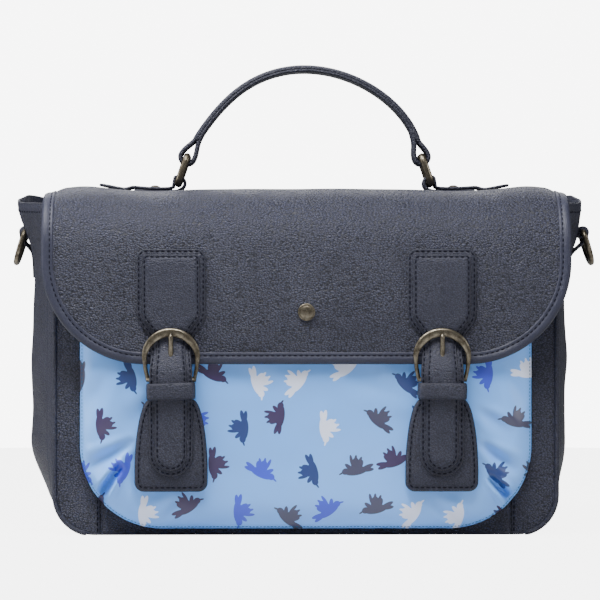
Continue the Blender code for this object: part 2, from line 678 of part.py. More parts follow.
def make_side_rings():
    for label, side in (("left", -1), ("right", 1)):
        origin = Vector((side * SIDE_RING_X, BODY_MID_Y, SIDE_RING_Z))
        direction = Vector((side * math.sin(SIDE_RING_TILT), 0, -math.cos(SIDE_RING_TILT)))
        points = [tilted(origin, a, y, direction) for a, y in dee_path(SIDE_RING_DROP)]
        ring_curve(f"side_ring_{label}", points, WIRE_R + 0.1 * MM, BRASS_MAT)
        half = 9 * MM
        foot_z = 194 * MM
        thickness = 2.4 * MM

        def place(u, v, side=side, foot_z=foot_z):
            z = foot_z + (SIDE_RING_Z - foot_z) * v
            x = HALF_WIDTH + side_bulge(z) + GAP / 2 + 0.5 * MM + thickness
            return Vector((side * x, BODY_MID_Y + (2 * u - 1) * half, z))

        tab = sheet(f"side_tab_{label}", 2, 8, place, thickness, LEATHER_MAT, flip=side < 0)
        ends = origin - Vector((0, half, 0)), origin + Vector((0, half, 0))
        boolean(tab, rod(f"side_turn_{label}", *ends, 4.9 * MM, None, CUTTERS), "UNION")
        over = Vector((0, half + 3 * MM, 0))
        eye = rod(f"side_eye_{label}", origin - over, origin + over, WIRE_R + 0.6 * MM, None, CUTTERS)
        boolean(tab, eye, "DIFFERENCE")


make_shell()
make_pocket()
make_flap()
make_buckle_straps()
make_handle_hardware()
make_handle()
make_side_rings()
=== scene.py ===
"""Looks of the satchel-style diaper bag: pebbled navy leather, printed coated cloth and antiqued brass."""

import math

import bmesh
import bpy
import numpy as np
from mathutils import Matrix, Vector, geometry, noise


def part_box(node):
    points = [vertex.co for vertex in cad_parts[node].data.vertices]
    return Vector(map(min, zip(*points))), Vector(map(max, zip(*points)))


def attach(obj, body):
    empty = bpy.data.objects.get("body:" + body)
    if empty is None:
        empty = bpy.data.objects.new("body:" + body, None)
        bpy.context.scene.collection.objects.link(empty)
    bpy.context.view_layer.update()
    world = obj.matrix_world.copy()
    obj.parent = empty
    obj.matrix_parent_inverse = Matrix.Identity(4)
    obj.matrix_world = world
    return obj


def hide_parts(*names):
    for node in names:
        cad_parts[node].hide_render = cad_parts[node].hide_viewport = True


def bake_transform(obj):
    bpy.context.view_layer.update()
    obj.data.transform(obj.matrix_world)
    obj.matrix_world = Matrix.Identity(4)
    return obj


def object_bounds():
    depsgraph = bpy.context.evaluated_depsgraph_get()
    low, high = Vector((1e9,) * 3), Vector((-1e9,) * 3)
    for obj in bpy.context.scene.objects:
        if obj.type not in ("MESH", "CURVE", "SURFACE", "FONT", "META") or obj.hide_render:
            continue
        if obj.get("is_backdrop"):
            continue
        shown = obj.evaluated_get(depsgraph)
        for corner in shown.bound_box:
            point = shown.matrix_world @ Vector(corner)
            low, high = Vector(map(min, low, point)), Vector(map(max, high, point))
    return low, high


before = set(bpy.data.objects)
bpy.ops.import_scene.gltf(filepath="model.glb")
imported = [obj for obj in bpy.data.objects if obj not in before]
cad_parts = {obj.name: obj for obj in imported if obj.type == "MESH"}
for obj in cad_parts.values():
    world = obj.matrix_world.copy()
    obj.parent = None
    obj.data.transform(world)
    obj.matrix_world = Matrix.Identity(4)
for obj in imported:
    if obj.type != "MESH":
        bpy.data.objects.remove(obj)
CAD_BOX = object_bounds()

MM = 0.001
SIDES = (("left", -1), ("right", 1))


def low(node):
    return Vector(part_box(node)[0])


def high(node):
    return Vector(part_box(node)[1])


def middle(node):
    return (low(node) + high(node)) / 2


# ---------------------------------------------------------------- sizes read from the frame

FLAP_FACE_Y = low("flap_panel").y
FLAP_BACK_Y = high("flap_sewn_strip").y
FLAP_TOP_Z = high("flap_top_panel").z
FLAP_BOTTOM_Z = low("flap_binding").z
FLAP_HALF = high("flap_binding").x
FLAP_CORNER = 77 * MM
FLAP_BEND = 43 * MM
BACK_BEND = 9 * MM
SEWN_STRIP_Z = low("flap_sewn_strip").z
FRONT_Y = low("front_panel").y
BACK_Y = high("back_panel").y
RIM_Z = high("front_panel").z
SHELL_HALF = high("back_panel").x
SEAM_X = high("front_panel").x
SHELL_CORNER = 30 * MM
POCKET_HALF = high("front_pocket").x
POCKET_BOTTOM_Z = low("front_pocket").z
POCKET_TOP_Z = high("front_pocket").z
POCKET_CORNER = 62 * MM
POCKET_FACE_Y = low("front_pocket").y
STRAP_X = middle("strap_base_right").x
STRAP_TOP_Z = high("strap_base_right").z
STRAP_END_Z = low("strap_base_right").z
HANDLE_Y = middle("handle_strap").y


def ease(share):
    share = min(max(share, 0), 1)
    return share * share * (3 - 2 * share)


def roll(share):
    """A quarter round from 0 to 1."""
    return math.sqrt(max(0, 1 - (1 - min(max(share, 0), 1)) ** 2))


def bump(distance, width):
    """A smooth hump, 1 at no distance."""
    return math.exp(-((distance / width) ** 2))


def wander(p, q, size, seed):
    """Slow, seeded unevenness between about -1 and 1."""
    return noise.noise(Vector((p / size, q / size, seed)))


def along_segment(p, q, start, end):
    """How far a point is from a segment, and how far along it, from 0 to 1."""
    to_end = (end[0] - start[0], end[1] - start[1])
    length_sq = to_end[0] ** 2 + to_end[1] ** 2
    share = ((p - start[0]) * to_end[0] + (q - start[1]) * to_end[1]) / length_sq
    share = min(max(share, 0), 1)
    near = (start[0] + to_end[0] * share, start[1] + to_end[1] * share)
    return math.hypot(p - near[0], q - near[1]), share


# ---------------------------------------------------------------- outlines in the flat


def arc(centre, radius, start_deg, end_deg, steps):
    """Points round a circle."""
    turns = [math.radians(start_deg + (end_deg - start_deg) * i / steps) for i in range(steps + 1)]
    return [(centre[0] + radius * math.cos(a), centre[1] + radius * math.sin(a)) for a in turns]


def evenly(points, step, closed=True):
    """The same path with a point about every step, corners kept by closeness."""
    ring = list(points) + ([points[0]] if closed else [])
    found = []
    for (x0, y0), (x1, y1) in zip(ring, ring[1:]):
        parts = max(1, round(math.hypot(x1 - x0, y1 - y0) / step))
        found += [(x0 + (x1 - x0) * i / parts, y0 + (y1 - y0) * i / parts) for i in range(parts)]
    return found if closed else found + [ring[-1]]


def inward(outline, distance, closed=True):
    """The outline moved to its left by a distance, with mitred corners."""
    count = len(outline)
    moved = []
    for i, (x, y) in enumerate(outline):
        before = outline[i - 1] if closed or i else None
        after = outline[(i + 1) % count] if closed or i < count - 1 else None
        normals = []
        for (ax, ay), (bx, by) in [(before or outline[i], outline[i]), (outline[i], after or outline[i])]:
            length = math.hypot(bx - ax, by - ay)
            if length > 0:
                normals.append(((ay - by) / length, (bx - ax) / length))
        nx = sum(n[0] for n in normals) / len(normals)
        ny = sum(n[1] for n in normals) / len(normals)
        scale = distance / max(nx * nx + ny * ny, 0.3)
        moved.append((x + nx * scale, y + ny * scale))
    return moved


def u_outline(half, bottom, top, corner, steps=24):
    """A panel with square top corners and round lower ones, counterclockwise from its top left."""
    left = arc((-half + corner, bottom + corner), corner, 180, 270, steps)
    right = arc((half - corner, bottom + corner), corner, 270, 360, steps)
    return [(-half, top), *left, *right, (half, top)]


# ---------------------------------------------------------------- meshes from the flat


def add_piece(name, mesh, *materials):
    piece = bpy.data.objects.new(name, mesh)
    bpy.context.scene.collection.objects.link(piece)
    for material in materials:
        mesh.materials.append(material)
    mesh.shade_smooth()
    return piece


def mesh_of(name, points, faces):
    mesh = bpy.data.meshes.new(name)
    mesh.from_pydata([tuple(p) for p in points], [], faces)
    mesh.validate()
    return mesh


def fill_inside(loop, spacing):
    """Triangles over the inside of a flat loop, on a grid of the spacing: the points, then the triangles."""
    ring = np.array(loop)
    (x0, y0), (x1, y1) = ring.min(0), ring.max(0)
    across = np.arange(x0 + spacing / 2, x1, spacing)
    along = np.arange(y0 + spacing / 2, y1, spacing)
    grid = np.array([(x, y) for y in along for x in across]) if len(across) and len(along) else np.zeros(
        (0, 2)
    )
    inside = points_inside(grid, ring, spacing * 0.45)
    points = [Vector(p) for p in [*ring, *grid[inside]]]
    edges = [(i, (i + 1) % len(ring)) for i in range(len(ring))]
    made = geometry.delaunay_2d_cdt(points, edges, [list(range(len(ring)))], 1, 1e-7)
    return [tuple(p) for p in made[0]], [tuple(f) for f in made[2]], made[3]


def points_inside(points, ring, margin):
    """Which points lie inside the ring and at least the margin from it."""
    if not len(points):
        return np.zeros(0, bool)
    inside = np.zeros(len(points), bool)
    far = np.full(len(points), np.inf)
    for (ax, ay), (bx, by) in zip(ring, np.roll(ring, -1, axis=0)):
        crosses = (ay > points[:, 1]) != (by > points[:, 1])
        with np.errstate(divide="ignore", invalid="ignore"):
            at = ax + (points[:, 1] - ay) / (by - ay) * (bx - ax)
        inside ^= crosses & (points[:, 0] < at)
        far = np.minimum(far, segment_distance(points, (ax, ay), (bx, by)))
    return inside & (far > margin)


def segment_distance(points, start, end):
    start, end = np.array(start), np.array(end)
    run = end - start
    share = np.clip(((points - start) @ run) / max(run @ run, 1e-18), 0, 1)
    return np.linalg.norm(points - start - share[:, None] * run, axis=1)


def ring_distance(points, ring):
    """Each point's distance from a closed ring, in blocks of segments."""
    far = np.full(len(points), np.inf)
    for start, end in zip(ring, [*ring[1:], ring[0]]):
        far = np.minimum(far, segment_distance(points, start, end))
    return far


def set_floats(mesh, name, values):
    attribute = mesh.attributes.new(name, "FLOAT", "POINT")
    attribute.data.foreach_set("value", np.array(values, np.float32))


def set_flat_map(mesh, name, flat):
    """A UV map in metres of the flat pattern, so that a print or weave follows the cloth."""
    layer = mesh.uv_layers.new(name=name)
    corners = np.zeros(len(mesh.loops), np.int32)
    mesh.loops.foreach_get("vertex_index", corners)
    layer.data.foreach_set("uv", np.array(flat, np.float32)[corners].ravel())


SEWN = (1.6 * MM,)  # usual distance of a stitch row from an edge


def cut_piece(name, outline, place, thickness, material, spacing=4 * MM, rows=SEWN, plump=0.3 * MM):
    """Leather or cloth cut to an outline: both faces, a round edge, and a groove along each stitch row.

    place(p, q, lift) puts a point of the flat pattern in space, lift being its height over the outer face.
    """
    edge_r = thickness / 2
    insets = [0, 0.15 * edge_r, 0.5 * edge_r, edge_r]
    for row in rows:
        insets += [row - 0.55 * MM, row, row + 0.55 * MM]
    insets.append(max(insets) + 1.2 * MM)
    insets = sorted(x for x in set(insets) if x >= 0)
    loops = [inward(outline, d) for d in insets]
    inner, triangles, came_from = fill_inside(loops[-1], spacing)
    count = len(outline)
    flat = [p for loop in loops[:-1] for p in loop] + inner
    base = count * (len(loops) - 1)
    to_inner = {}
    for index, sources in enumerate(came_from):
        for source in sources:
            to_inner.setdefault(source, index)
    rim = [[k * count + i for i in range(count)] for k in range(len(loops) - 1)]
    rim.append([base + to_inner[i] for i in range(count)])
    faces = []
    for outer, deeper in zip(rim, rim[1:]):
        for i in range(count):
            j = (i + 1) % count
            faces.append((outer[i], outer[j], deeper[j], deeper[i]))
    faces += [tuple(base + i for i in triangle) for triangle in triangles]
    depth = [d for d in insets[:-1] for _ in range(count)]
    inner_depth = ring_distance(np.array(inner), outline)
    depth += list(inner_depth)
    seam = [min((abs(d - row) for row in rows), default=1) for d in depth]

    def relief(d, s):
        lifted = -edge_r * (1 - roll(d / edge_r)) + plump * ease((d - edge_r) / (4 * MM))
        return lifted - 0.28 * MM * bump(s, 0.45 * MM)

    front = [place(p, q, relief(d, s)) for (p, q), d, s in zip(flat, depth, seam)]
    # The back face has its own points, except along the rim, which both faces share.
    twin = [i if depth[i] == 0 else len(front) + i - count for i in range(len(flat))]
    back = []
    for (p, q), d in list(zip(flat, depth))[count:]:
        back.append(place(p, q, -thickness + edge_r * (1 - roll(d / edge_r))))
    faces += [tuple(twin[i] for i in reversed(face)) for face in list(faces)]
    mesh = mesh_of(name, front + back, faces)
    set_floats(mesh, "edge", depth + depth[count:])
    set_floats(mesh, "seam", seam + seam[count:])
    set_flat_map(mesh, "flat", flat + flat[count:])
    piece = add_piece(name, mesh, material)
    turn_outward(piece)
    return piece


def turn_outward(piece):
    bm = bmesh.new()
    bm.from_mesh(piece.data)
    bmesh.ops.recalc_face_normals(bm, faces=bm.faces)
    bm.to_mesh(piece.data)
    bm.free()


def ring_faces(count, wide, closed):
    """Faces between closed rings of points, with both ends capped unless the run itself is closed."""
    faces = []
    for i in range(count if closed else count - 1):
        j = (i + 1) % count
        for k in range(wide):
            n = (k + 1) % wide
            faces.append((i * wide + k, i * wide + n, j * wide + n, j * wide + k))
    if not closed:
        faces += [tuple(reversed(range(wide))), tuple((count - 1) * wide + k for k in range(wide))]
    return faces


def ringed_piece(name, points, edges, faces, material):
    """A piece made of rings, with each point's distance from a cut edge and no seam on it."""
    mesh = mesh_of(name, points, faces)
    set_floats(mesh, "edge", edges)
    set_floats(mesh, "seam", [1.0] * len(points))
    piece = add_piece(name, mesh, material)
    turn_outward(piece)
    return piece


def sweep(name, path, section, place, material, closed=False, edge=None):
    """A closed section carried along a flat path: each section point is (distance inside the path, lift)."""
    rings = [inward(path, inset, closed) for inset, _ in section]
    points, edges = [], []
    for i in range(len(path)):
        for (inset, lift), ring in zip(section, rings):
            points.append(place(*ring[i], lift))
            edges.append(inset if edge is None else edge)
    return ringed_piece(name, points, edges, ring_faces(len(path), len(section), closed), material)


def tube(name, path, radius, material, closed=True, sides=14, flatten=1.0, taper=None):
    """A round wire through 3-D points. taper(share) scales its radius."""
    count = len(path)
    points = []
    side = None
    for i, centre in enumerate(path):
        ahead = path[(i + 1) % count] if closed or i < count - 1 else centre
        behind = path[i - 1] if closed or i else centre
        tangent = (ahead - behind).normalized()
        if side is None:
            side = tangent.orthogonal().normalized()
        side = (side - tangent * side.dot(tangent)).normalized()
        other = tangent.cross(side)
        size = radius * (taper(i / (count - 1)) if taper else 1)
        for k in range(sides):
            a = 2 * math.pi * k / sides
            points.append(centre + side * math.cos(a) * size + other * math.sin(a) * size * flatten)
    return ringed_piece(name, points, [1.0] * len(points), ring_faces(count, sides, closed), material)


# ---------------------------------------------------------------- materials


def start_material(name):
    material = bpy.data.materials.new(name)
    material.use_nodes = True
    return material, material.node_tree, material.node_tree.nodes["Principled BSDF"]


def add(tree, kind, inputs=None, **settings):
    """A node with its settings, and its inputs given as values or as sockets to link."""
    node = tree.nodes.new(kind)
    for key, value in settings.items():
        setattr(node, key, value)
    for key, value in (inputs or {}).items():
        if isinstance(value, bpy.types.NodeSocket):
            tree.links.new(value, node.inputs[key])
        else:
            node.inputs[key].default_value = value
    return node


def maths(tree, operation, *values, clamp=False):
    node = add(tree, "ShaderNodeMath", dict(enumerate(values)), operation=operation, use_clamp=clamp)
    return node.outputs[0]


def fade(tree, value, start, end, low_value=0.0, high_value=1.0):
    inputs = {"Value": value, "From Min": start, "From Max": end, "To Min": low_value, "To Max": high_value}
    return add(tree, "ShaderNodeMapRange", inputs, interpolation_type="SMOOTHSTEP").outputs[0]


def blend_colours(tree, share, first, second):
    inputs = {"Factor": share, "A": first, "B": second}
    node = tree.nodes.new("ShaderNodeMix")
    node.data_type = "RGBA"
    sockets = {"Factor": node.inputs[0], "A": node.inputs[6], "B": node.inputs[7]}
    for key, value in inputs.items():
        if isinstance(value, bpy.types.NodeSocket):
            tree.links.new(value, sockets[key])
        else:
            sockets[key].default_value = value if key == "Factor" else (*value[:3], 1)
    return node.outputs[2]


def noise_of(tree, where, scale, detail=2.0, rough=0.5, distortion=0.0):
    inputs = {"Vector": where, "Scale": scale, "Detail": detail, "Roughness": rough, "Distortion": distortion}
    return add(tree, "ShaderNodeTexNoise", inputs).outputs["Fac"]


def attribute(tree, name):
    return add(tree, "ShaderNodeAttribute", attribute_name=name, attribute_type="GEOMETRY").outputs["Fac"]


def bumped(tree, height, strength, distance, normal=None):
    inputs = {"Height": height, "Strength": strength, "Distance": distance}
    if normal:
        inputs["Normal"] = normal
    return add(tree, "ShaderNodeBump", inputs).outputs[0]


def make_leather(name, colour, pebble, depth, roughness, contrast):
    """Pebbled leather: rounded cells, creases between them with painted shade, fine pores, uneven dye,
    painted shade along the stitch grooves and burnished edges.
    """
    material, tree, shader = start_material(name)
    where = add(tree, "ShaderNodeTexCoord").outputs["Object"]
    warp = add(tree, "ShaderNodeTexNoise", {"Vector": where, "Scale": 0.5 / pebble, "Detail": 2.0})
    drift = {0: warp.outputs["Color"], 1: (1.1 * pebble,) * 3, 2: where}
    warped = add(tree, "ShaderNodeVectorMath", drift, operation="MULTIPLY_ADD").outputs[0]
    stretched = add(tree, "ShaderNodeMapping", {"Vector": warped, "Scale": (0.78, 1.0, 1.25)}).outputs[0]
    cell_input = {"Vector": stretched, "Scale": 1 / pebble}
    smooth_input = {**cell_input, "Smoothness": 0.22}
    near = add(tree, "ShaderNodeTexVoronoi", smooth_input, feature="SMOOTH_F1").outputs["Distance"]
    gap = add(tree, "ShaderNodeTexVoronoi", cell_input, feature="DISTANCE_TO_EDGE").outputs["Distance"]
    crease = fade(tree, gap, 0.0, 0.26)
    dome = maths(tree, "SUBTRACT", 1.0, maths(tree, "POWER", near, 1.6))
    grain = maths(tree, "ADD", maths(tree, "MULTIPLY", crease, 0.22), dome)
    pores = noise_of(tree, where, 3.5 / pebble, 3.0, 0.65)
    patches = noise_of(tree, where, 24.0, 3.0, 0.6)
    strength = fade(tree, patches, 0.3, 0.7, 0.7, 1.0)
    height = maths(tree, "MULTIPLY", maths(tree, "MULTIPLY_ADD", pores, 0.3, grain), strength)
    folds = noise_of(tree, where, 80.0, 3.0, 0.6, 0.8)
    seam = fade(tree, attribute(tree, "seam"), 0.0004, 0.0013, 0.0, 1.0)
    normal = bumped(tree, folds, 0.4, 1.5 * MM)
    normal = bumped(tree, seam, 0.3, 0.3 * MM, normal)
    normal = bumped(tree, height, 1.0, depth, normal)
    tree.links.new(normal, shader.inputs["Normal"])
    # Painted shade: this darker colour is painted into the creases between the pebbles.
    dark = tuple(c * (1 - 0.55 * contrast) for c in colour)
    light = tuple(c * (1 + 0.35 * contrast) for c in colour)
    dyed = blend_colours(tree, fade(tree, patches, 0.3, 0.72), colour, light)
    mottled = blend_colours(tree, fade(tree, pores, 0.35, 0.65), dyed, light)
    # Painted shade in the creases between the pebbles.
    crease_shaded = blend_colours(tree, crease, dark, mottled)
    # Painted shade along the stitch grooves: the leather there is painted darker.
    sewn = blend_colours(tree, seam, tuple(c * 0.85 for c in colour), crease_shaded)
    scuffs = noise_of(tree, where, 260.0, 3.0, 0.7)
    rim = maths(tree, "SUBTRACT", 1.0, fade(tree, attribute(tree, "edge"), 0.0002, 0.0013))
    paint = maths(tree, "MULTIPLY", rim, fade(tree, scuffs, 0.45, 0.7, 0.9, 0.4))
    tree.links.new(
        blend_colours(tree, paint, sewn, tuple(c * 0.6 for c in colour)), shader.inputs["Base Color"]
    )
    sheen = maths(tree, "MULTIPLY_ADD", crease, -0.35, patches)
    shine = fade(tree, sheen, 0.0, 0.7, roughness + 0.16, roughness - 0.06)
    tree.links.new(shine, shader.inputs["Roughness"])
    shader.inputs["Specular IOR Level"].default_value = 0.30
    return material


def make_metal(name, colour, bright, roughness):
    """Antiqued metal: dark in patches, rubbed bright in others, with fine brushed scratches."""
    material, tree, shader = start_material(name)
    where = add(tree, "ShaderNodeTexCoord").outputs["Object"]
    tarnish = noise_of(tree, where, 190.0, 4.0, 0.65)
    fine = noise_of(tree, where, 1400.0, 3.0, 0.6)
    mixed = maths(tree, "MULTIPLY_ADD", fine, 0.35, tarnish)
    share = fade(tree, mixed, 0.5, 0.85)
    tree.links.new(blend_colours(tree, share, colour, bright), shader.inputs["Base Color"])
    tree.links.new(
        fade(tree, mixed, 0.45, 0.9, roughness + 0.14, roughness - 0.1), shader.inputs["Roughness"]
    )
    stretched = add(tree, "ShaderNodeMapping", {"Vector": where, "Scale": (300, 4000, 4000)}).outputs[0]
    scratches = noise_of(tree, stretched, 1.0, 2.0)
    normal = bumped(tree, scratches, 0.25, 0.05 * MM)
    tree.links.new(bumped(tree, tarnish, 0.3, 0.12 * MM, normal), shader.inputs["Normal"])
    shader.inputs["Metallic"].default_value = 1.0
    return material


def make_thread(name, colour):
    material, tree, shader = start_material(name)
    where = add(tree, "ShaderNodeTexCoord").outputs["Object"]
    fuzz = noise_of(tree, where, 2600.0, 2.0)
    tree.links.new(
        blend_colours(tree, fuzz, tuple(c * 0.6 for c in colour), tuple(c * 1.4 for c in colour)),
        shader.inputs["Base Color"],
    )
    tree.links.new(bumped(tree, fuzz, 0.5, 0.1 * MM), shader.inputs["Normal"])
    shader.inputs["Roughness"].default_value = 0.8
    shader.inputs["Specular IOR Level"].default_value = 0.12
    return material


def make_lining_cloth(name, colour):
    """Plain woven lining."""
    material, tree, shader = start_material(name)
    where = add(tree, "ShaderNodeTexCoord").outputs["Object"]
    warp = add(
        tree, "ShaderNodeTexWave", {"Vector": where, "Scale": 260.0, "Distortion": 0.6}, bands_direction="X"
    )
    weft = add(
        tree, "ShaderNodeTexWave", {"Vector": where, "Scale": 260.0, "Distortion": 0.6}, bands_direction="Z"
    )
    weave = maths(tree, "MULTIPLY", warp.outputs["Fac"], weft.outputs["Fac"])
    soft = noise_of(tree, where, 30.0, 3.0)
    shade = maths(tree, "MULTIPLY_ADD", soft, 0.4, weave)
    tree.links.new(
        blend_colours(
            tree,
            fade(tree, shade, 0.1, 1.2),
            tuple(c * 0.6 for c in colour),
            tuple(c * 1.3 for c in colour),
        ),
        shader.inputs["Base Color"],
    )
    tree.links.new(bumped(tree, weave, 0.5, 0.2 * MM), shader.inputs["Normal"])
    shader.inputs["Roughness"].default_value = 0.85
    shader.inputs["Sheen Weight"].default_value = 0.3
    return material


BIRD_CELL = 34 * MM  # room for one printed bird
BIRD_COLOURS = (
    (0.018, 0.042, 0.17),
    (0.052, 0.052, 0.10),
    (0.040, 0.070, 0.62),
    (0.042, 0.026, 0.085),
    (0.74, 0.80, 1.0),
)
# A plain flying bird built from ovals, in millimetres about its breast: centre, half sizes, turn in degrees.
BIRD_OVALS = (
    ((0.2, 0.2), (7.2, 2.7), 8),
    ((6.6, 1.8), (2.4, 2.0), 0),
    ((9.4, 1.5), (1.9, 0.55), -14),
    ((-7.3, 0.4), (4.3, 1.35), -8),
    ((-7.0, -1.2), (4.0, 1.3), 12),
    ((-0.6, 3.9), (4.6, 2.7), 112),
    ((-2.6, 2.8), (4.2, 2.1), 138),
    ((1.0, 7.6), (3.4, 0.95), 98),
    ((-1.7, 7.1), (3.0, 0.9), 114),
    ((-4.1, 5.6), (2.8, 0.9), 132),
    ((3.6, 3.6), (3.4, 1.3), 58),
)


def bird_mask(tree, where):
    """1 on a printed bird and 0 off it, one bird to a cell, each turned, shifted and flipped by its cell."""
    cell = add(
        tree, "ShaderNodeVectorMath", {0: where, 1: (1 / BIRD_CELL,) * 3}, operation="MULTIPLY"
    ).outputs[0]
    split = add(tree, "ShaderNodeSeparateXYZ", {0: cell})
    row = maths(tree, "FLOOR", split.outputs[1])
    stagger = maths(tree, "MULTIPLY", maths(tree, "MODULO", row, 2.0), 0.5)
    column = maths(tree, "FLOOR", maths(tree, "ADD", split.outputs[0], stagger))
    inside_x = maths(
        tree, "SUBTRACT", maths(tree, "FRACT", maths(tree, "ADD", split.outputs[0], stagger)), 0.5
    )
    inside_y = maths(tree, "SUBTRACT", maths(tree, "FRACT", split.outputs[1]), 0.5)
    key = add(tree, "ShaderNodeCombineXYZ", {0: column, 1: row, 2: 3.7}).outputs[0]
    dice = add(tree, "ShaderNodeTexWhiteNoise", {"Vector": key}, noise_dimensions="3D")
    rolls = add(tree, "ShaderNodeSeparateColor", {0: dice.outputs["Color"]})
    to_mm = BIRD_CELL / MM / 1.18  # the printed birds are this much larger than drawn
    x = maths(tree, "MULTIPLY", inside_x, to_mm)
    y = maths(tree, "MULTIPLY", inside_y, to_mm)
    x = maths(tree, "ADD", x, maths(tree, "MULTIPLY_ADD", rolls.outputs[0], 10.0, -5.0))
    y = maths(tree, "ADD", y, maths(tree, "MULTIPLY_ADD", rolls.outputs[1], 10.0, -5.0))
    flip = maths(tree, "SIGN", maths(tree, "SUBTRACT", rolls.outputs[0], 0.5))
    x = maths(tree, "MULTIPLY", x, flip)
    local = add(tree, "ShaderNodeCombineXYZ", {0: x, 1: y, 2: 0.0}).outputs[0]
    turn = maths(tree, "MULTIPLY", maths(tree, "SUBTRACT", rolls.outputs[2], 0.4), 3.4)
    turned = add(
        tree,
        "ShaderNodeVectorRotate",
        {"Vector": local, "Axis": (0, 0, 1), "Angle": turn},
        rotation_type="AXIS_ANGLE",
    ).outputs[0]
    nearest = None
    for (cx, cy), (rx, ry), degrees in BIRD_OVALS:
        oval = add(
            tree,
            "ShaderNodeMapping",
            {
                "Vector": turned,
                "Location": (cx, cy, 0),
                "Rotation": (0, 0, math.radians(degrees)),
                "Scale": (rx, ry, 1),
            },
            vector_type="TEXTURE",
        ).outputs[0]
        size = add(tree, "ShaderNodeVectorMath", {0: oval}, operation="LENGTH").outputs["Value"]
        nearest = size if nearest is None else maths(tree, "MINIMUM", nearest, size)
    return fade(tree, nearest, 1.04, 0.98), dice.outputs["Value"]


def make_print(name):
    """Light blue coated cotton with the scattered bird print, on the pocket's own flat map."""
    material, tree, shader = start_material(name)
    flat = add(tree, "ShaderNodeUVMap", uv_map="flat").outputs[0]
    where = add(tree, "ShaderNodeTexCoord").outputs["Object"]
    mask, dice = bird_mask(tree, flat)
    ramp = add(tree, "ShaderNodeValToRGB", {"Fac": dice})
    ramp.color_ramp.interpolation = "CONSTANT"
    while len(ramp.color_ramp.elements) < len(BIRD_COLOURS):
        ramp.color_ramp.elements.new(0.5)
    for index, colour in enumerate(BIRD_COLOURS):
        ramp.color_ramp.elements[index].position = index / len(BIRD_COLOURS)
        ramp.color_ramp.elements[index].color = (*colour, 1)
    tint = noise_of(tree, where, 9.0, 2.0)
    ground = blend_colours(tree, fade(tree, tint, 0.35, 0.65), (0.14, 0.40, 0.97), (0.165, 0.43, 1.0))
    warp = add(
        tree, "ShaderNodeTexWave", {"Vector": flat, "Scale": 480.0, "Distortion": 0.4}, bands_direction="X"
    )
    weft = add(
        tree, "ShaderNodeTexWave", {"Vector": flat, "Scale": 480.0, "Distortion": 0.4}, bands_direction="Y"
    )
    weave = maths(tree, "ADD", warp.outputs["Fac"], weft.outputs["Fac"])
    thread = fade(tree, weave, 0.2, 1.8, 0.0, 0.12)
    ground = blend_colours(tree, thread, ground, (0.36, 0.60, 1.0))
    tree.links.new(blend_colours(tree, mask, ground, ramp.outputs[0]), shader.inputs["Base Color"])
    uneven = noise_of(tree, where, 60.0, 3.0)
    normal = bumped(tree, uneven, 0.15, 0.8 * MM)
    tree.links.new(bumped(tree, weave, 0.25, 0.06 * MM, normal), shader.inputs["Normal"])
    tree.links.new(fade(tree, uneven, 0.3, 0.7, 0.36, 0.46), shader.inputs["Roughness"])
    shader.inputs["Coat Weight"].default_value = 0.25
    shader.inputs["Coat Roughness"].default_value = 0.3
    return material


NAVY = (0.027, 0.029, 0.050)
STRAP_NAVY = tuple(c * 0.85 for c in NAVY)
FLAP_LEATHER = make_leather("pebbled_navy_leather", NAVY, 1.6 * MM, 0.72 * MM, 0.46, 1.4)
STRAP_LEATHER = make_leather("smooth_navy_leather", STRAP_NAVY, 1.4 * MM, 0.42 * MM, 0.48, 0.9)
BINDING_LEATHER = make_leather("binding_navy_leather", NAVY, 1.0 * MM, 0.14 * MM, 0.42, 0.4)
PRINTED_CLOTH = make_print("printed_coated_cotton")
LINING_CLOTH = make_lining_cloth("slate_lining", (0.13, 0.14, 0.18))
OLD_BRASS = make_metal("antiqued_brass", (0.075, 0.064, 0.047), (0.21, 0.185, 0.14), 0.38)
SNAP_STEEL = make_metal("snap_steel", (0.35, 0.35, 0.34), (0.6, 0.6, 0.6), 0.3)
NAVY_THREAD = make_thread("navy_thread", (0.004, 0.0045, 0.010))
BLUE_THREAD = make_thread("blue_thread", (0.05, 0.17, 0.30))


# ---------------------------------------------------------------- stitches


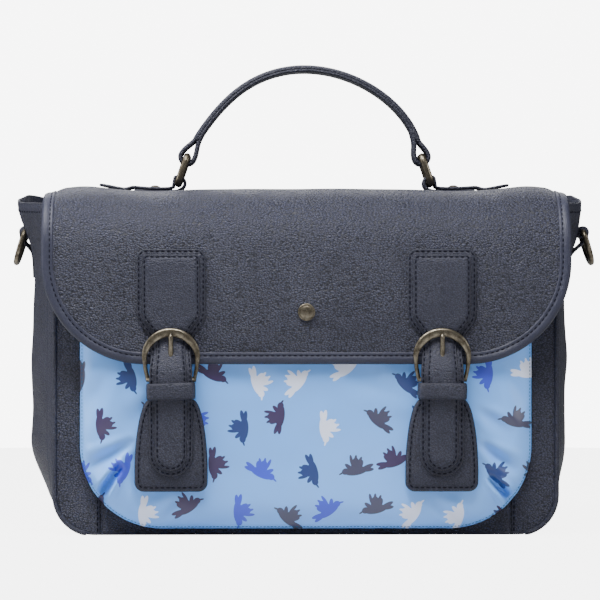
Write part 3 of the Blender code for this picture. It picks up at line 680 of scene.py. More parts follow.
def make_stitch_tree(name, material):
    """Stitches along every curve of the object: one small oval of thread to each step."""
    tree = bpy.data.node_groups.new(name, "GeometryNodeTree")
    face = tree.interface
    face.new_socket("Rows", in_out="INPUT", socket_type="NodeSocketGeometry")
    for label, value in (("Step", 4.2 * MM), ("Length", 2.9 * MM), ("Thickness", 0.95 * MM)):
        socket = face.new_socket(label, in_out="INPUT", socket_type="NodeSocketFloat")
        socket.default_value = value
    face.new_socket("Stitches", in_out="OUTPUT", socket_type="NodeSocketGeometry")
    given = tree.nodes.new("NodeGroupInput")
    result = tree.nodes.new("NodeGroupOutput")
    spacing = {"Curve": given.outputs["Rows"], "Length": given.outputs["Step"]}
    spaced = add(tree, "GeometryNodeResampleCurve", spacing, mode="LENGTH")
    ball = add(tree, "GeometryNodeMeshUVSphere", {"Segments": 8, "Rings": 6, "Radius": 0.5})
    size = add(
        tree,
        "ShaderNodeCombineXYZ",
        {0: given.outputs["Length"], 1: given.outputs["Thickness"], 2: given.outputs["Thickness"]},
    )
    tangent = tree.nodes.new("GeometryNodeInputTangent")
    facing = add(tree, "FunctionNodeAlignRotationToVector", {"Vector": tangent.outputs[0]}, axis="X")
    placed = add(
        tree,
        "GeometryNodeInstanceOnPoints",
        {
            "Points": spaced.outputs[0],
            "Instance": ball.outputs["Mesh"],
            "Rotation": facing.outputs[0],
            "Scale": size.outputs[0],
        },
    )
    real = add(tree, "GeometryNodeRealizeInstances", {0: placed.outputs[0]})
    smooth = add(tree, "GeometryNodeSetShadeSmooth", {0: real.outputs[0]})
    finished = add(tree, "GeometryNodeSetMaterial", {"Geometry": smooth.outputs[0], "Material": material})
    tree.links.new(finished.outputs[0], result.inputs[0])
    return tree


NAVY_STITCH = make_stitch_tree("navy_stitch", NAVY_THREAD)
BLUE_STITCH = make_stitch_tree("blue_stitch", BLUE_THREAD)


def sew(name, rows, tree=NAVY_STITCH, step=4.2 * MM, length=3.1 * MM, thickness=1.0 * MM):
    """One plain mesh of stitches along several rows of 3-D points, as (points, closed)."""
    curve = bpy.data.curves.new(name, "CURVE")
    curve.dimensions = "3D"
    for points, closed in rows:
        spline = curve.splines.new("POLY")
        spline.points.add(len(points) - 1)
        spline.use_cyclic_u = closed
        for point, place in zip(spline.points, points):
            point.co = (*place, 1)
    holder = bpy.data.objects.new(name, curve)
    bpy.context.scene.collection.objects.link(holder)
    modifier = holder.modifiers.new("stitches", "NODES")
    modifier.node_group = tree
    values = {"Step": step, "Length": length, "Thickness": thickness}
    for item in tree.interface.items_tree:
        if item.in_out == "INPUT" and item.name in values:
            modifier[item.identifier] = values[item.name]
    bpy.context.view_layer.update()
    graph = bpy.context.evaluated_depsgraph_get()
    mesh = bpy.data.meshes.new_from_object(holder.evaluated_get(graph))
    bpy.data.objects.remove(holder)
    mesh.name = name
    piece = bpy.data.objects.new(name, mesh)
    bpy.context.scene.collection.objects.link(piece)
    return piece


def sewn_row(outline, inset, place, lift, closed=True):
    """A stitch row at a distance inside an outline, as 3-D points."""
    return [place(p, q, lift) for p, q in inward(outline, inset, closed)], closed


# ---------------------------------------------------------------- bag shell

LEATHER_T = 2.2 * MM
HEM = 7 * MM  # the second stitch row of a gusset, below its mouth
SEWN_LIFT = 0.2 * MM  # how proud the shell's stitches stand
WELT_R, WELT_INSET = 1.9 * MM, 0.8 * MM
LEFT_SWELL, RIGHT_SWELL = 6 * MM, -2.5 * MM  # the left gusset hangs fuller than the right


def front_at(p, q, lift):
    slack = 1.2 * MM * wander(p, q, 60 * MM, 2.0) * ease(q / (20 * MM))
    return Vector((p, FRONT_Y - lift - max(-0.6 * MM, slack), q))


def back_at(p, q, lift):
    slack = 3.5 * MM * ease(q / (60 * MM)) * ease((250 * MM - q) / (70 * MM)) * math.cos(
        p / SHELL_HALF * math.pi / 2
    )
    slack += 0.8 * MM * wander(p, q, 55 * MM, 5.0)
    return Vector((-p, BACK_Y + lift + max(-0.5 * MM, slack), q))


def gusset_run(share):
    """The gusset's line seen from the front: x, z and outward direction, from the base seam to the rim."""
    flat = SHELL_HALF - SHELL_CORNER - SEAM_X
    bend = SHELL_CORNER * math.pi / 2
    run = share
    if run < flat:
        return SEAM_X + run, 0, 0, -1
    if run < flat + bend:
        angle = (run - flat) / SHELL_CORNER
        x = SHELL_HALF - SHELL_CORNER + SHELL_CORNER * math.sin(angle)
        return x, SHELL_CORNER * (1 - math.cos(angle)), math.sin(angle), -math.cos(angle)
    return SHELL_HALF, SHELL_CORNER + run - flat - bend, 1, 0


GUSSET_LENGTH = SHELL_HALF - SHELL_CORNER - SEAM_X + SHELL_CORNER * math.pi / 2 + RIM_Z - SHELL_CORNER


def gusset_at(side, swell):
    """Places a gusset: p runs from the front seam to the back one, q from the base seam up to the rim."""
    front, back = FRONT_Y + LEATHER_T, BACK_Y - LEATHER_T

    def place(p, q, lift):
        x, z, out_x, out_z = gusset_run(q)
        share = min(max(p / (back - front), 0), 1)
        hump = math.sin(math.pi * share)
        body = (14 * MM + swell) * ease(z / (75 * MM)) * hump**0.8 * (
            1 - 0.18 * ease((z - 150 * MM) / (60 * MM))
        )
        mouth = ease((z - 175 * MM) / (75 * MM))
        flare = 16 * MM * mouth**2 * (1 - abs(2 * share - 1)) ** 0.8
        gather = 1.6 * MM * mouth * math.sin(share * math.pi * 6 + 0.6) * hump
        crumple = 2.2 * MM * wander(p, q, 34 * MM, 8.0 + side) * hump * ease(z / (40 * MM))
        pull = (2.5 * MM - 0.9 * swell) * bump(p - (back - front) / 2, 20 * MM) * bump(z - 220 * MM, 16 * MM)
        push = lift + max(0, out_x) * (body + flare + gather + crumple + pull)
        rise = MM * mouth**3 * ((6 + 4 * hump**2) * ease((share - 0.3) / 0.5) + 2 * hump)
        height = max(z + out_z * lift, 0) + rise * max(0, out_x)
        return Vector((side * (x + out_x * push), front + p, height))

    return place


def make_shell():
    replaced = []
    panel = [(-SEAM_X, 0), (SEAM_X, 0), (SEAM_X, RIM_Z), (-SEAM_X, RIM_Z)]
    shell_rows = []
    centre = cut_piece(
        "front_panel_leather", evenly(panel, 5 * MM), front_at, LEATHER_T, FLAP_LEATHER, 6 * MM
    )
    replaced.append((centre, "front_panel"))
    for label, side in SIDES:
        corner = arc((SHELL_HALF - SHELL_CORNER, SHELL_CORNER), SHELL_CORNER, -90, 0, 12)
        edge = [(SEAM_X, 0), *corner, (SHELL_HALF, RIM_Z), (SEAM_X, RIM_Z)]
        outline = evenly([(side * x, z) for x, z in (edge if side > 0 else reversed(edge))], 4 * MM)
        piece = cut_piece(f"front_side_{label}_leather", outline, front_at, LEATHER_T, FLAP_LEATHER, 6 * MM)
        replaced.append((piece, f"front_side_{label}"))
        seam = [(side * (SEAM_X + 2 * MM), z * MM) for z in range(4, 246, 4)]
        shell_rows.append(([front_at(p, q, SEWN_LIFT) for p, q in seam], False))
        depth = BACK_Y - FRONT_Y - 2 * LEATHER_T
        flat = evenly([(0, 0), (depth, 0), (depth, GUSSET_LENGTH), (0, GUSSET_LENGTH)], 4 * MM)
        swell = LEFT_SWELL if side < 0 else RIGHT_SWELL
        rows = (*SEWN, HEM)
        gusset = cut_piece(
            f"gusset_{label}_leather", flat, gusset_at(side, swell), LEATHER_T, FLAP_LEATHER, 4 * MM, rows
        )
        replaced.append((gusset, f"side_gusset_{label}"))
        hem = [(depth * i / 40, GUSSET_LENGTH - HEM) for i in range(1, 40)]
        shell_rows.append(([gusset_at(side, swell)(p, q, SEWN_LIFT) for p, q in hem], False))
        welt = [(side * (SHELL_HALF - WELT_INSET), z * MM) for z in range(246, 30, -6)]
        bend = arc((SHELL_HALF - SHELL_CORNER, SHELL_CORNER), SHELL_CORNER - WELT_INSET, 0, -80, 10)
        welt += [(side * abs(x), z) for x, z in bend]
        path = [front_at(x, z, 0) + Vector((0, 0.4 * MM, 0)) for x, z in welt]
        piece = tube(f"front_welt_{label}_leather", path, WELT_R, STRAP_LEATHER, closed=False, sides=12)
        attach(piece, "bag_body")
    back = evenly(u_outline(SHELL_HALF, 0, RIM_Z, SHELL_CORNER, 12), 5 * MM)
    replaced.append(
        (cut_piece("back_panel_leather", back, back_at, LEATHER_T, FLAP_LEATHER, 7 * MM), "back_panel")
    )
    shell_rows.append(sewn_row(back, 3 * MM, back_at, SEWN_LIFT))
    base_low, base_high = low("base_gusset"), high("base_gusset")

    def base_at(p, q, lift):
        return Vector((p, q, max(0, base_low.z - lift)))

    outline = [(-SEAM_X, base_low.y), (SEAM_X, base_low.y), (SEAM_X, base_high.y), (-SEAM_X, base_high.y)]
    base = cut_piece(
        "base_leather", evenly(outline, 6 * MM), base_at, LEATHER_T, FLAP_LEATHER, 8 * MM, plump=0
    )
    replaced.append((base, "base_gusset"))
    for piece, node in replaced:
        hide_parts(node)
        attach(piece, "bag_body")
    stitches = sew("shell_stitches", shell_rows)
    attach(stitches, "bag_body")
    make_lining()


def make_lining():
    """The cloth tub: a lofted bag whose mouth is hemmed and whose sides hang slightly slack."""
    floor_z = low("lining").z
    front, back = low("lining").y, high("lining").y
    reach = high("lining").x - 2 * MM
    top = high("lining").z

    def ring(z, inset):
        r = 12 * MM
        draw = SHELL_CORNER * (1 - roll((z - floor_z) / SHELL_CORNER))
        x, y0, y1 = reach - inset - draw, front + inset, back - inset
        corners = [
            ((x - r, y1 - r), 0), ((-x + r, y1 - r), 90), ((-x + r, y0 + r), 180), ((x - r, y0 + r), 270)
        ]
        return [p for centre, start in corners for p in arc(centre, r, start, start + 90, 6)]

    levels = [floor_z + (top - floor_z) * (1 - math.cos(math.pi / 2 * i / 22)) for i in range(23)]
    rings = [(ring(z, 0), z) for z in levels] + [(ring(z, 0.8 * MM), z) for z in reversed(levels[1:])]
    rings.append((ring(floor_z, 0.8 * MM), floor_z + 0.8 * MM))
    dense = [(evenly(r, 6 * MM), z) for r, z in rings]
    count = min(len(r) for r, _ in dense)
    points = []
    for r, z in dense:
        for k in range(count):
            x, y = r[int(k * len(r) / count)]
            slack = 1.2 * MM * (wander(x + y, z, 40 * MM, 4.0) - 1) * ease((z - floor_z) / (30 * MM))
            size = 1 + slack / reach
            points.append((x * size, (y - 16 * MM) * (1 + slack / (60 * MM)) + 16 * MM, z))
    faces = ring_faces(len(dense), count, closed=False)
    piece = add_piece("lining_cloth", mesh_of("lining_cloth", points, faces), LINING_CLOTH)
    turn_outward(piece)
    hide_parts("lining")
    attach(piece, "bag_body")


# ---------------------------------------------------------------- front pocket

CLOTH_T = 1.2 * MM
POCKET_EDGE_ROLL = 24 * MM
# Tucks and creases of the pocket, in mm on its face: start, end, how deep and how wide.
POCKET_CREASES = (
    ((-157, 27), (-140, 52), 14.0, 3.0),
    ((-160, 54), (-132, 70), 4.6, 4.2),
    ((-128, 88), (-112, 106), 1.6, 6.0),
    ((157, 25), (138, 43), 12.0, 2.9),
    ((154, 52), (132, 68), 4.2, 4.0),
    ((150, 78), (130, 94), 2.6, 4.6),
    ((-167, 95), (-148, 122), 2.0, 7.0),
    ((167, 100), (148, 128), 2.0, 7.0),
    ((-120, 8), (-100, 26), 2.2, 4.6),
    ((118, 8), (98, 24), 2.2, 4.6),
    ((40, 120), (84, 100), 1.0, 7.0),
    ((-60, 122), (-20, 112), 1.0, 8.0),
)


def pocket_edge_distance(p, q):
    """How far inside the pocket's sewn sides and bottom a point lies."""
    cx, cz = POCKET_HALF - POCKET_CORNER, POCKET_BOTTOM_Z + POCKET_CORNER
    if abs(p) > cx and q < cz:
        return POCKET_CORNER - math.hypot(abs(p) - cx, q - cz)
    return min(POCKET_HALF - abs(p), q - POCKET_BOTTOM_Z)


def pocket_at(p, q, lift):
    inside = max(0, pocket_edge_distance(p, q))
    depth = FRONT_Y - CLOTH_T - POCKET_FACE_Y
    swell = depth * roll(inside / POCKET_EDGE_ROLL)
    free = ease(inside / (12 * MM))
    folds = 1.5 * MM * wander(p, q * 0.55, 46 * MM, 11.0) + 0.6 * MM * wander(p, q, 19 * MM, 13.0)
    side_folds = 1.3 * MM * wander(p * 2.2, q * 0.6, 40 * MM, 17.0) * ease((abs(p) - 90 * MM) / (50 * MM))
    tucks = 0
    for start, end, deep, wide in POCKET_CREASES:
        start, end = [tuple(v * MM for v in point) for point in (start, end)]
        off, share = along_segment(p, q, start, end)
        spread = wide * MM * (1.15 - 0.5 * share)
        valley = bump(off, spread) - 0.45 * bump(off - 2.1 * spread, 0.9 * spread)
        tucks += deep * MM * valley * math.sin(math.pi * (0.2 + 0.72 * share))
    face = FRONT_Y - CLOTH_T - swell - free * (folds + side_folds) + tucks * min(1, free + 0.3)
    return Vector((p, min(face, FRONT_Y - CLOTH_T - 0.2 * MM) - lift, q))


def make_pocket():
    outline = u_outline(POCKET_HALF, POCKET_BOTTOM_Z, POCKET_TOP_Z, POCKET_CORNER, 40)
    outline = evenly(outline, 2 * MM)
    rows = (1.8 * MM,)
    pocket = cut_piece("pocket_cloth", outline, pocket_at, CLOTH_T, PRINTED_CLOTH, 1.8 * MM, rows, plump=0)
    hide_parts("front_pocket")
    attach(pocket, "bag_body")
    path = evenly(
        u_outline(POCKET_HALF, POCKET_BOTTOM_Z, POCKET_TOP_Z, POCKET_CORNER, 40), 2 * MM, closed=False
    )
    row = sewn_row(path, 1.8 * MM, pocket_at, 0.1 * MM, closed=False)
    stitches = sew("pocket_stitches", [row], BLUE_STITCH, 2.7 * MM, 1.9 * MM, 0.55 * MM)
    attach(stitches, "bag_body")


# ---------------------------------------------------------------- flap

BEND_RUN = FLAP_BEND * math.pi / 2
BACK_BEND_RUN = BACK_BEND * math.pi / 2
TOP_RUN = (FLAP_BACK_Y - BACK_BEND) - (FLAP_FACE_Y + FLAP_BEND)
FLAP_T = 3.3 * MM
JOIN_S = -TOP_RUN / 2  # where the front and back halves of the flap are joined, under the handle


def flap_line(s):
    """The flap seen from the side, as y, z and outward direction. s grows from the front bend downwards."""
    if s > BEND_RUN:
        return FLAP_FACE_Y, FLAP_TOP_Z - FLAP_BEND - (s - BEND_RUN), -1, 0
    if s > 0:
        angle = s / FLAP_BEND
        y = FLAP_FACE_Y + FLAP_BEND - FLAP_BEND * math.sin(angle)
        return y, FLAP_TOP_Z - FLAP_BEND + FLAP_BEND * math.cos(angle), -math.sin(angle), math.cos(angle)
    if s > -TOP_RUN:
        return FLAP_FACE_Y + FLAP_BEND - s, FLAP_TOP_Z, 0, 1
    angle = (-TOP_RUN - s) / BACK_BEND
    if angle < math.pi / 2:
        y = FLAP_BACK_Y - BACK_BEND + BACK_BEND * math.sin(angle)
        return y, FLAP_TOP_Z - BACK_BEND + BACK_BEND * math.cos(angle), math.sin(angle), math.cos(angle)
    return FLAP_BACK_Y, FLAP_TOP_Z - BACK_BEND - (-TOP_RUN - s - BACK_BEND_RUN), 1, 0


def front_s(z):
    """The s of a height on the hanging front."""
    return FLAP_TOP_Z - FLAP_BEND - z + BEND_RUN


def flap_at(p, s, lift):
    y, z, out_y, out_z = flap_line(s)
    side = abs(p)
    on_top = ease((25 * MM + TOP_RUN + s) / (25 * MM)) * ease((BEND_RUN * 0.9 - s) / (BEND_RUN * 1.2))
    crest = 2.4 * bump(side - 168 * MM, 17 * MM) - 2.2 * bump(side - 113 * MM, 24 * MM) - 0.6
    crest -= 6.5 * ease((side - 181 * MM) / (17 * MM))
    sag = 1.0 * wander(p, s, 50 * MM, 3.0)
    rise = MM * (crest + sag) * on_top
    hanging = ease((s - BEND_RUN * 0.45) / (22 * MM))
    belly = 3.2 * math.sin(math.pi * min(max((z - FLAP_BOTTOM_Z) / (112 * MM), 0), 1)) ** 0.8
    belly += 1.4 * wander(p, z, 62 * MM, 21.0) * ease((z - FLAP_BOTTOM_Z) / (25 * MM))
    creases = 0.9 * wander(p * 0.5 + z, (z - p * 0.3) * 2.4, 26 * MM, 23.0) * ease((190 * MM - z) / (45 * MM))
    creases *= bump(side - 62 * MM, 30 * MM) + bump(side - 150 * MM, 26 * MM)
    push = lift + MM * hanging * (max(belly, -0.4) + creases)
    return Vector((p, y + out_y * push, z + out_z * push + rise))


def flap_outline(inset, start_s):
    """The flap's edge from start_s on the top, down the left, along the bottom and up to start_s again."""
    half = FLAP_HALF - inset
    bottom = FLAP_BOTTOM_Z + inset
    corner = FLAP_CORNER - inset
    path = u_outline(half, bottom, FLAP_TOP_Z - FLAP_BEND, corner, 36)
    # s grows downwards, so the outline is turned over to stay counterclockwise.
    hanging = [(-p, front_s(q)) for p, q in path]
    return [(half, start_s), *hanging, (-half, start_s)]


BIND_W = 9 * MM
# The binding folded round the flap's edge: distance inside the edge, and height over the flap's face.
BIND_SECTION = (
    (9.0, 0.05), (8.7, 0.75), (8.0, 1.05), (7.1, 1.0), (6.4, 0.72), (5.7, 1.15), (4.0, 1.75), (2.2, 1.75),
    (0.8, 1.1), (0.05, -0.3), (0.0, -1.6), (0.5, -3.0), (1.8, -3.9), (4.0, -4.1), (8.4, -3.9), (9.0, -3.3),
)


def flap_pair(piece, bodies, start, end, slot):
    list(bodies)
    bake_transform(piece)
    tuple(start)
    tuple(end)


def make_flap():
    fold_start = (0, FLAP_FACE_Y + 6.5 * MM, FLAP_TOP_Z)
    fold_end = (0, FLAP_FACE_Y - 2 * MM, FLAP_TOP_Z - 10 * MM)
    front_fold = (("flap_top", "flap_front"), fold_start, fold_end)
    back_fold = (
        ("bag_body", "flap_top"),
        (0, FLAP_BACK_Y, FLAP_TOP_Z - 16 * MM),
        (0, FLAP_BACK_Y - 18 * MM, FLAP_TOP_Z),
    )
    section = [(inset * MM, lift * MM) for inset, lift in BIND_SECTION]

    front = evenly(flap_outline(1.2 * MM, JOIN_S), 4 * MM)
    panel = cut_piece("flap_front_leather", front, flap_at, FLAP_T, FLAP_LEATHER, 3.5 * MM, (), 0)
    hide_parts("flap_panel", "flap_lining")
    flap_pair(panel, *front_fold, "leather")
    edge = evenly(flap_outline(0, JOIN_S), 3 * MM, closed=False)
    binding = sweep("flap_binding_leather", edge, section, flap_at, BINDING_LEATHER, edge=BIND_W)
    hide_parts("flap_binding")
    flap_pair(binding, *front_fold, "leather")
    rows = [sewn_row(edge, 6.4 * MM, flap_at, 0.75 * MM, closed=False)]
    flap_pair(sew("flap_front_stitches", rows), *front_fold, "leather")

    half = FLAP_HALF - 1.2 * MM
    strip_s = -TOP_RUN - BACK_BEND_RUN - (FLAP_TOP_Z - BACK_BEND - SEWN_STRIP_Z)
    rear = evenly([(half, JOIN_S), (-half, JOIN_S), (-half, strip_s), (half, strip_s)], 4 * MM)
    rear_panel = cut_piece("flap_rear_leather", rear, flap_at, FLAP_T, FLAP_LEATHER, 4 * MM, (), 0)
    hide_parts("flap_top_panel", "flap_top_lining", "flap_sewn_strip")
    flap_pair(rear_panel, *back_fold, "leather")
    rear_rows = [([flap_at(p * MM, strip_s + 3 * MM, 0.1 * MM) for p in range(-194, 195, 4)], False)]
    for label, side in SIDES:
        path = evenly([(side * FLAP_HALF, JOIN_S), (side * FLAP_HALF, strip_s)], 3 * MM, closed=False)
        if side > 0:
            path.reverse()
        trim = sweep(f"flap_rear_binding_{label}", path, section, flap_at, BINDING_LEATHER, edge=BIND_W)
        flap_pair(trim, *back_fold, "leather")
        rear_rows.append(sewn_row(path, 6.4 * MM, flap_at, 0.75 * MM, closed=False))
    flap_pair(sew("flap_rear_stitches", rear_rows), *back_fold, "leather")


# ---------------------------------------------------------------- buckle straps

SHIELD_HALF, STRAP_HALF = 25.6 * MM, 16 * MM
OVERLAY_INSET = 4.2 * MM
STRAP_SEAM, OVERLAY_SEAM, TAB_SEAM = 1.6 * MM, 1.7 * MM, 3.2 * MM  # stitch rows' distances from the edges
KEEPER_TILTS = {"left": 0.035, "right": -0.01}  # how far each keeper sits askew, as a slope
TAB_TURN_R = 4.6 * MM
LAYER_T = 1.9 * MM
BAR = Vector((STRAP_X, -76.8 * MM, 117.8 * MM))
# The strap's back face in side view, as (height, distance in front of the flap) in mm.
STRAP_RUN = ((215, 0.3), (150, 0.3), (120.8, 9.2), (109.8, 9.4), (92, 6.3), (46, 6.3))


def strap_back(z):
    for (z0, d0), (z1, d1) in zip(STRAP_RUN, STRAP_RUN[1:]):
        if z >= z1 * MM:
            return FLAP_FACE_Y - (d0 + (d1 - d0) * ease((z0 - z / MM) / (z0 - z1))) * MM
    return FLAP_FACE_Y - STRAP_RUN[-1][1] * MM


def strap_at(centre_x):
    """Places a strap's outer face: the base layer's own thickness in front of its back."""

    def place(x, z, lift):
        step = 0.5 * MM
        slope = (strap_back(z + step) - strap_back(z - step)) / (2 * step)
        out = Vector((0, -1, slope)).normalized()
        flap_face = flap_at(centre_x + x, front_s(max(z, FLAP_BOTTOM_Z)), 0.1 * MM).y
        lying = ease((z - 142 * MM) / (14 * MM))
        back = min(strap_back(z), strap_back(z) * (1 - lying) + flap_face * lying)
        return Vector((centre_x + x, back, z)) + out * (LAYER_T + lift)

    return place


def strap_half(z):
    """Half the base layer's width, from the shield down to the rounded tip."""
    neck, shoulder = 148 * MM, 170 * MM
    width = STRAP_HALF + (SHIELD_HALF - STRAP_HALF) * math.sin(
        math.pi / 2 * ease((z - neck) / (shoulder - neck))
    )
    return width - 1.2 * MM * ease(1 - abs(z - 138 * MM) / (16 * MM))


def strap_outline():
    """The base layer's edge, counterclockwise from the top left."""
    corner = 7 * MM
    tip = arc((0, STRAP_END_Z + STRAP_HALF), STRAP_HALF, 180, 360, 20)
    top_left = arc((-SHIELD_HALF + corner, STRAP_TOP_Z - corner), corner, 90, 180, 8)
    heights = [h * MM for h in range(200, 66, -4)]
    left = [(-strap_half(z), z) for z in heights]
    right = [(strap_half(z), z) for z in reversed(heights)]
    top_right = arc((SHIELD_HALF - corner, STRAP_TOP_Z - corner), corner, 0, 90, 8)
    return evenly([*top_left, *left, *tip, *right, *top_right], 2.2 * MM)


def tab_outline():
    """The lower tab from the buckle bar down, counterclockwise from the top left."""
    half, foot_z, corner = 27.3 * MM, low("lower_tab_right").z, 7 * MM
    neck = 16 * MM
    swell = [(neck + (half - neck) * math.sin(a), 48 * MM + 55 * MM * math.cos(a)) for a in turns(0, 90, 12)]
    left = [(-x, z) for x, z in swell]
    feet = arc((-half + corner, foot_z + corner), corner, 180, 270, 6)
    feet += arc((half - corner, foot_z + corner), corner, 270, 360, 6)
    return evenly([(-16 * MM, 114 * MM), *left, *feet, *reversed(swell), (16 * MM, 114 * MM)], 2.4 * MM)


def turns(start_deg, end_deg, steps):
    return [math.radians(start_deg + (end_deg - start_deg) * i / steps) for i in range(steps + 1)]


def tab_at(centre_x):
    face, thick = low("snap_stud_right").y - 6.0 * MM, 5.6 * MM

    def place(x, z, lift):
        curl = 1.0 * MM * (x / (27 * MM)) ** 2 + 1.4 * MM * ease((50 * MM - z) / (16 * MM))
        return Vector((centre_x + x, face + curl - lift, z))

    return place, thick


def buckle_point(centre_x, x, h, out):
    """A point of the leaning frame: x across, h above the bar, out in front of its middle plane."""
    lean = math.radians(4.5)
    y = BAR.y - h * math.sin(lean) - out * math.cos(lean)
    return Vector((centre_x + x, y, BAR.z + h * math.cos(lean) - out * math.sin(lean)))


def make_buckle(label, centre_x):
    """The frame: a horseshoe whose band is widest over the crown, bevelled on its face, and its bar."""
    crown_h, spring = 38.5 * MM, 17.5 * MM
    half = 21.7 * MM
    path = [(-18.6 * MM, -1.5 * MM), (-20.6 * MM, 8 * MM)]
    path += [(half * math.cos(a), spring + (crown_h - spring) * math.sin(a)) for a in turns(180, 0, 40)]
    path += [(20.6 * MM, 8 * MM), (18.6 * MM, -1.5 * MM)]
    path = evenly(path, 1.6 * MM, closed=False)
    outside = inward(path, -1.0 * MM, closed=False)
    points = []
    sides = 12
    for (x, h), (outside_x, outside_h) in zip(path, outside):
        nx, nh = outside_x - x, outside_h - h
        size = math.hypot(nx, nh)
        nx, nh = nx / size, nh / size
        band = (3.1 + 3.5 * ease((h - 8 * MM) / (30 * MM))) * MM
        for k in range(sides):
            a = 2 * math.pi * k / sides
            squared = 0.5 + 0.5 * math.copysign(abs(math.cos(a)) ** 0.7, math.cos(a))
            out = 1.75 * MM * math.copysign(abs(math.sin(a)) ** 0.75, math.sin(a))
            inset = band * (1 - squared)
            points.append(buckle_point(centre_x, x + nx * inset, h + nh * inset, out))
    faces = ring_faces(len(path), sides, closed=False)
    frame_piece = add_piece(f"buckle_{label}_brass", mesh_of("buckle", points, faces), OLD_BRASS)
    turn_outward(frame_piece)
    bar_ends = [buckle_point(centre_x, x * MM, 0, 0) for x in (-18.4, -9, 0, 9, 18.4)]
    bar = tube(f"buckle_bar_{label}_brass", bar_ends, 1.9 * MM, OLD_BRASS, closed=False)
    for piece in (frame_piece, bar):
        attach(piece, "flap_front")
    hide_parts(f"buckle_frame_{label}")


def make_prong(label, centre_x):
    """The prong: a knuckle round the bar, and a rod that tapers to a blunt tip over the crown."""
    start = buckle_point(centre_x, 0, 1.5 * MM, 0.9 * MM)
    end = buckle_point(centre_x, 0, 34.6 * MM, 4.0 * MM)
    spine = [start.lerp(end, i / 14) for i in range(15)]
    spine[-1] += Vector((0, 0.5 * MM, 0))

    def taper(share):
        return (1.15 - 0.3 * share) * (1 if share < 0.93 else 0.8 if share < 0.99 else 0.35)

    rod = tube(f"prong_{label}_brass", spine, 1.9 * MM, OLD_BRASS, closed=False, taper=taper)
    knuckle = [
        buckle_point(centre_x, 0, 3.3 * MM * math.sin(a), 3.3 * MM * math.cos(a)) for a in turns(0, 342, 19)
    ]
    coil = tube(f"prong_knuckle_{label}_brass", knuckle, 1.3 * MM, OLD_BRASS, flatten=1.4)
    for piece in (rod, coil):
        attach(piece, f"prong_{label}")
    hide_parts(f"buckle_prong_{label}")


def make_keeper(label, tilt):
    """A narrow leather loop round the strap and the tab, its ends meeting behind."""
    box_low, box_high = low(f"keeper_{label}"), high(f"keeper_{label}")
    half_x, half_y = (box_high.x - box_low.x) / 2, (box_high.y - box_low.y) / 2
    mid = (box_low + box_high) / 2
    r = 4.0 * MM
    loop = []
    for (sx, sy), start in (((1, 1), 0), ((-1, 1), 90), ((-1, -1), 180), ((1, -1), 270)):
        loop += arc((sx * (half_x - r), sy * (half_y - r)), r, start, start + 90, 7)
    loop = evenly(loop, 2 * MM)
    half_h, wall = 6.2 * MM, 1.4 * MM
    section = [
        (0.45, -1),
        (0.0, -0.88),
        (-0.12, -0.6),
        (-0.2, 0),
        (-0.12, 0.6),
        (0.0, 0.88),
        (0.45, 1),
        (1, 0.9),
        (1, -0.9),
    ]
    rings = [inward(loop, inset * wall) for inset, _ in section]
    points, edges = [], []
    for i in range(len(loop)):
        for (inset, height), ring in zip(section, rings):
            x, y = ring[i]
            z = height * half_h
            points.append(mid + Vector((x - z * tilt, y, z + x * tilt)))
            edges.append((1 - abs(height)) * half_h)
    faces = ring_faces(len(loop), len(section), closed=True)
    piece = ringed_piece(f"keeper_{label}_leather", points, edges, faces, STRAP_LEATHER)
    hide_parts(f"keeper_{label}")
    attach(piece, "flap_front")


def make_straps():
    rows = []
    for label, side in SIDES:
        centre_x = side * STRAP_X
        place = strap_at(centre_x)
        outline = strap_outline()
        base = cut_piece(
            f"strap_{label}_leather",
            outline,
            place,
            LAYER_T,
            STRAP_LEATHER,
            3 * MM,
            (STRAP_SEAM,),
            0.1 * MM,
        )
        inner = inward(outline, OVERLAY_INSET)

        def upper(x, z, lift, place=place):
            return place(x, z, lift + LAYER_T)

        overlay = cut_piece(
            f"strap_overlay_{label}_leather",
            inner,
            upper,
            LAYER_T,
            STRAP_LEATHER,
            3 * MM,
            (OVERLAY_SEAM,),
            0.7 * MM,
        )
        tab_place, thick = tab_at(centre_x)
        tab_edge = tab_outline()
        tab = cut_piece(
            f"lower_tab_{label}_leather",
            tab_edge,
            tab_place,
            thick,
            STRAP_LEATHER,
            3 * MM,
            (TAB_SEAM,),
            0.2 * MM,
        )
        for piece, node in ((base, "strap_base"), (overlay, "strap_overlay"), (tab, "lower_tab")):
            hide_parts(f"{node}_{label}")
            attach(piece, "flap_front")
        rows.append(sewn_row(outline, STRAP_SEAM, place, 0.0))
        rows.append(sewn_row(inner, OVERLAY_SEAM, upper, 0.0))
        rows.append(sewn_row(tab_edge, TAB_SEAM, tab_place, 0.0))
        make_buckle(label, centre_x)
        make_prong(label, centre_x)
        make_keeper(label, KEEPER_TILTS[label])
        # The tab's turn over the bar, in two halves with the prong's slot between them.
        for name, places in (("tab_turn", (-15, -14.4, -7, -3)), ("tab_turn_more", (3, 7, 14.4, 15))):
            spine = [BAR + Vector((centre_x - STRAP_X + x * MM, 0, 0)) for x in places]
            piece = tube(f"{name}_{label}_leather", spine, TAB_TURN_R, STRAP_LEATHER, closed=False)
            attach(piece, "flap_front")
    stitches = sew("strap_stitches", rows)
    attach(stitches, "flap_front")


# ---------------------------------------------------------------- handle, rings and tabs


def link_path(drop, span, r):
    """A rounded rectangle as (along, across), its first bar at 0 and its second at drop."""
    path = arc((r, span - r), r, 90, 180, 7) + arc((r, -span + r), r, 180, 270, 7)
    return path + arc((drop - r, -span + r), r, 270, 360, 7) + arc((drop - r, span - r), r, 0, 90, 7)


def dee_path(drop):
    span, r = 13.5 * MM, 4 * MM
    path = arc((r, span - r), r, 90, 180, 6) + arc((r, -span + r), r, 180, 270, 6)
    return path + arc((drop - span, 0), span, -90, 90, 24)


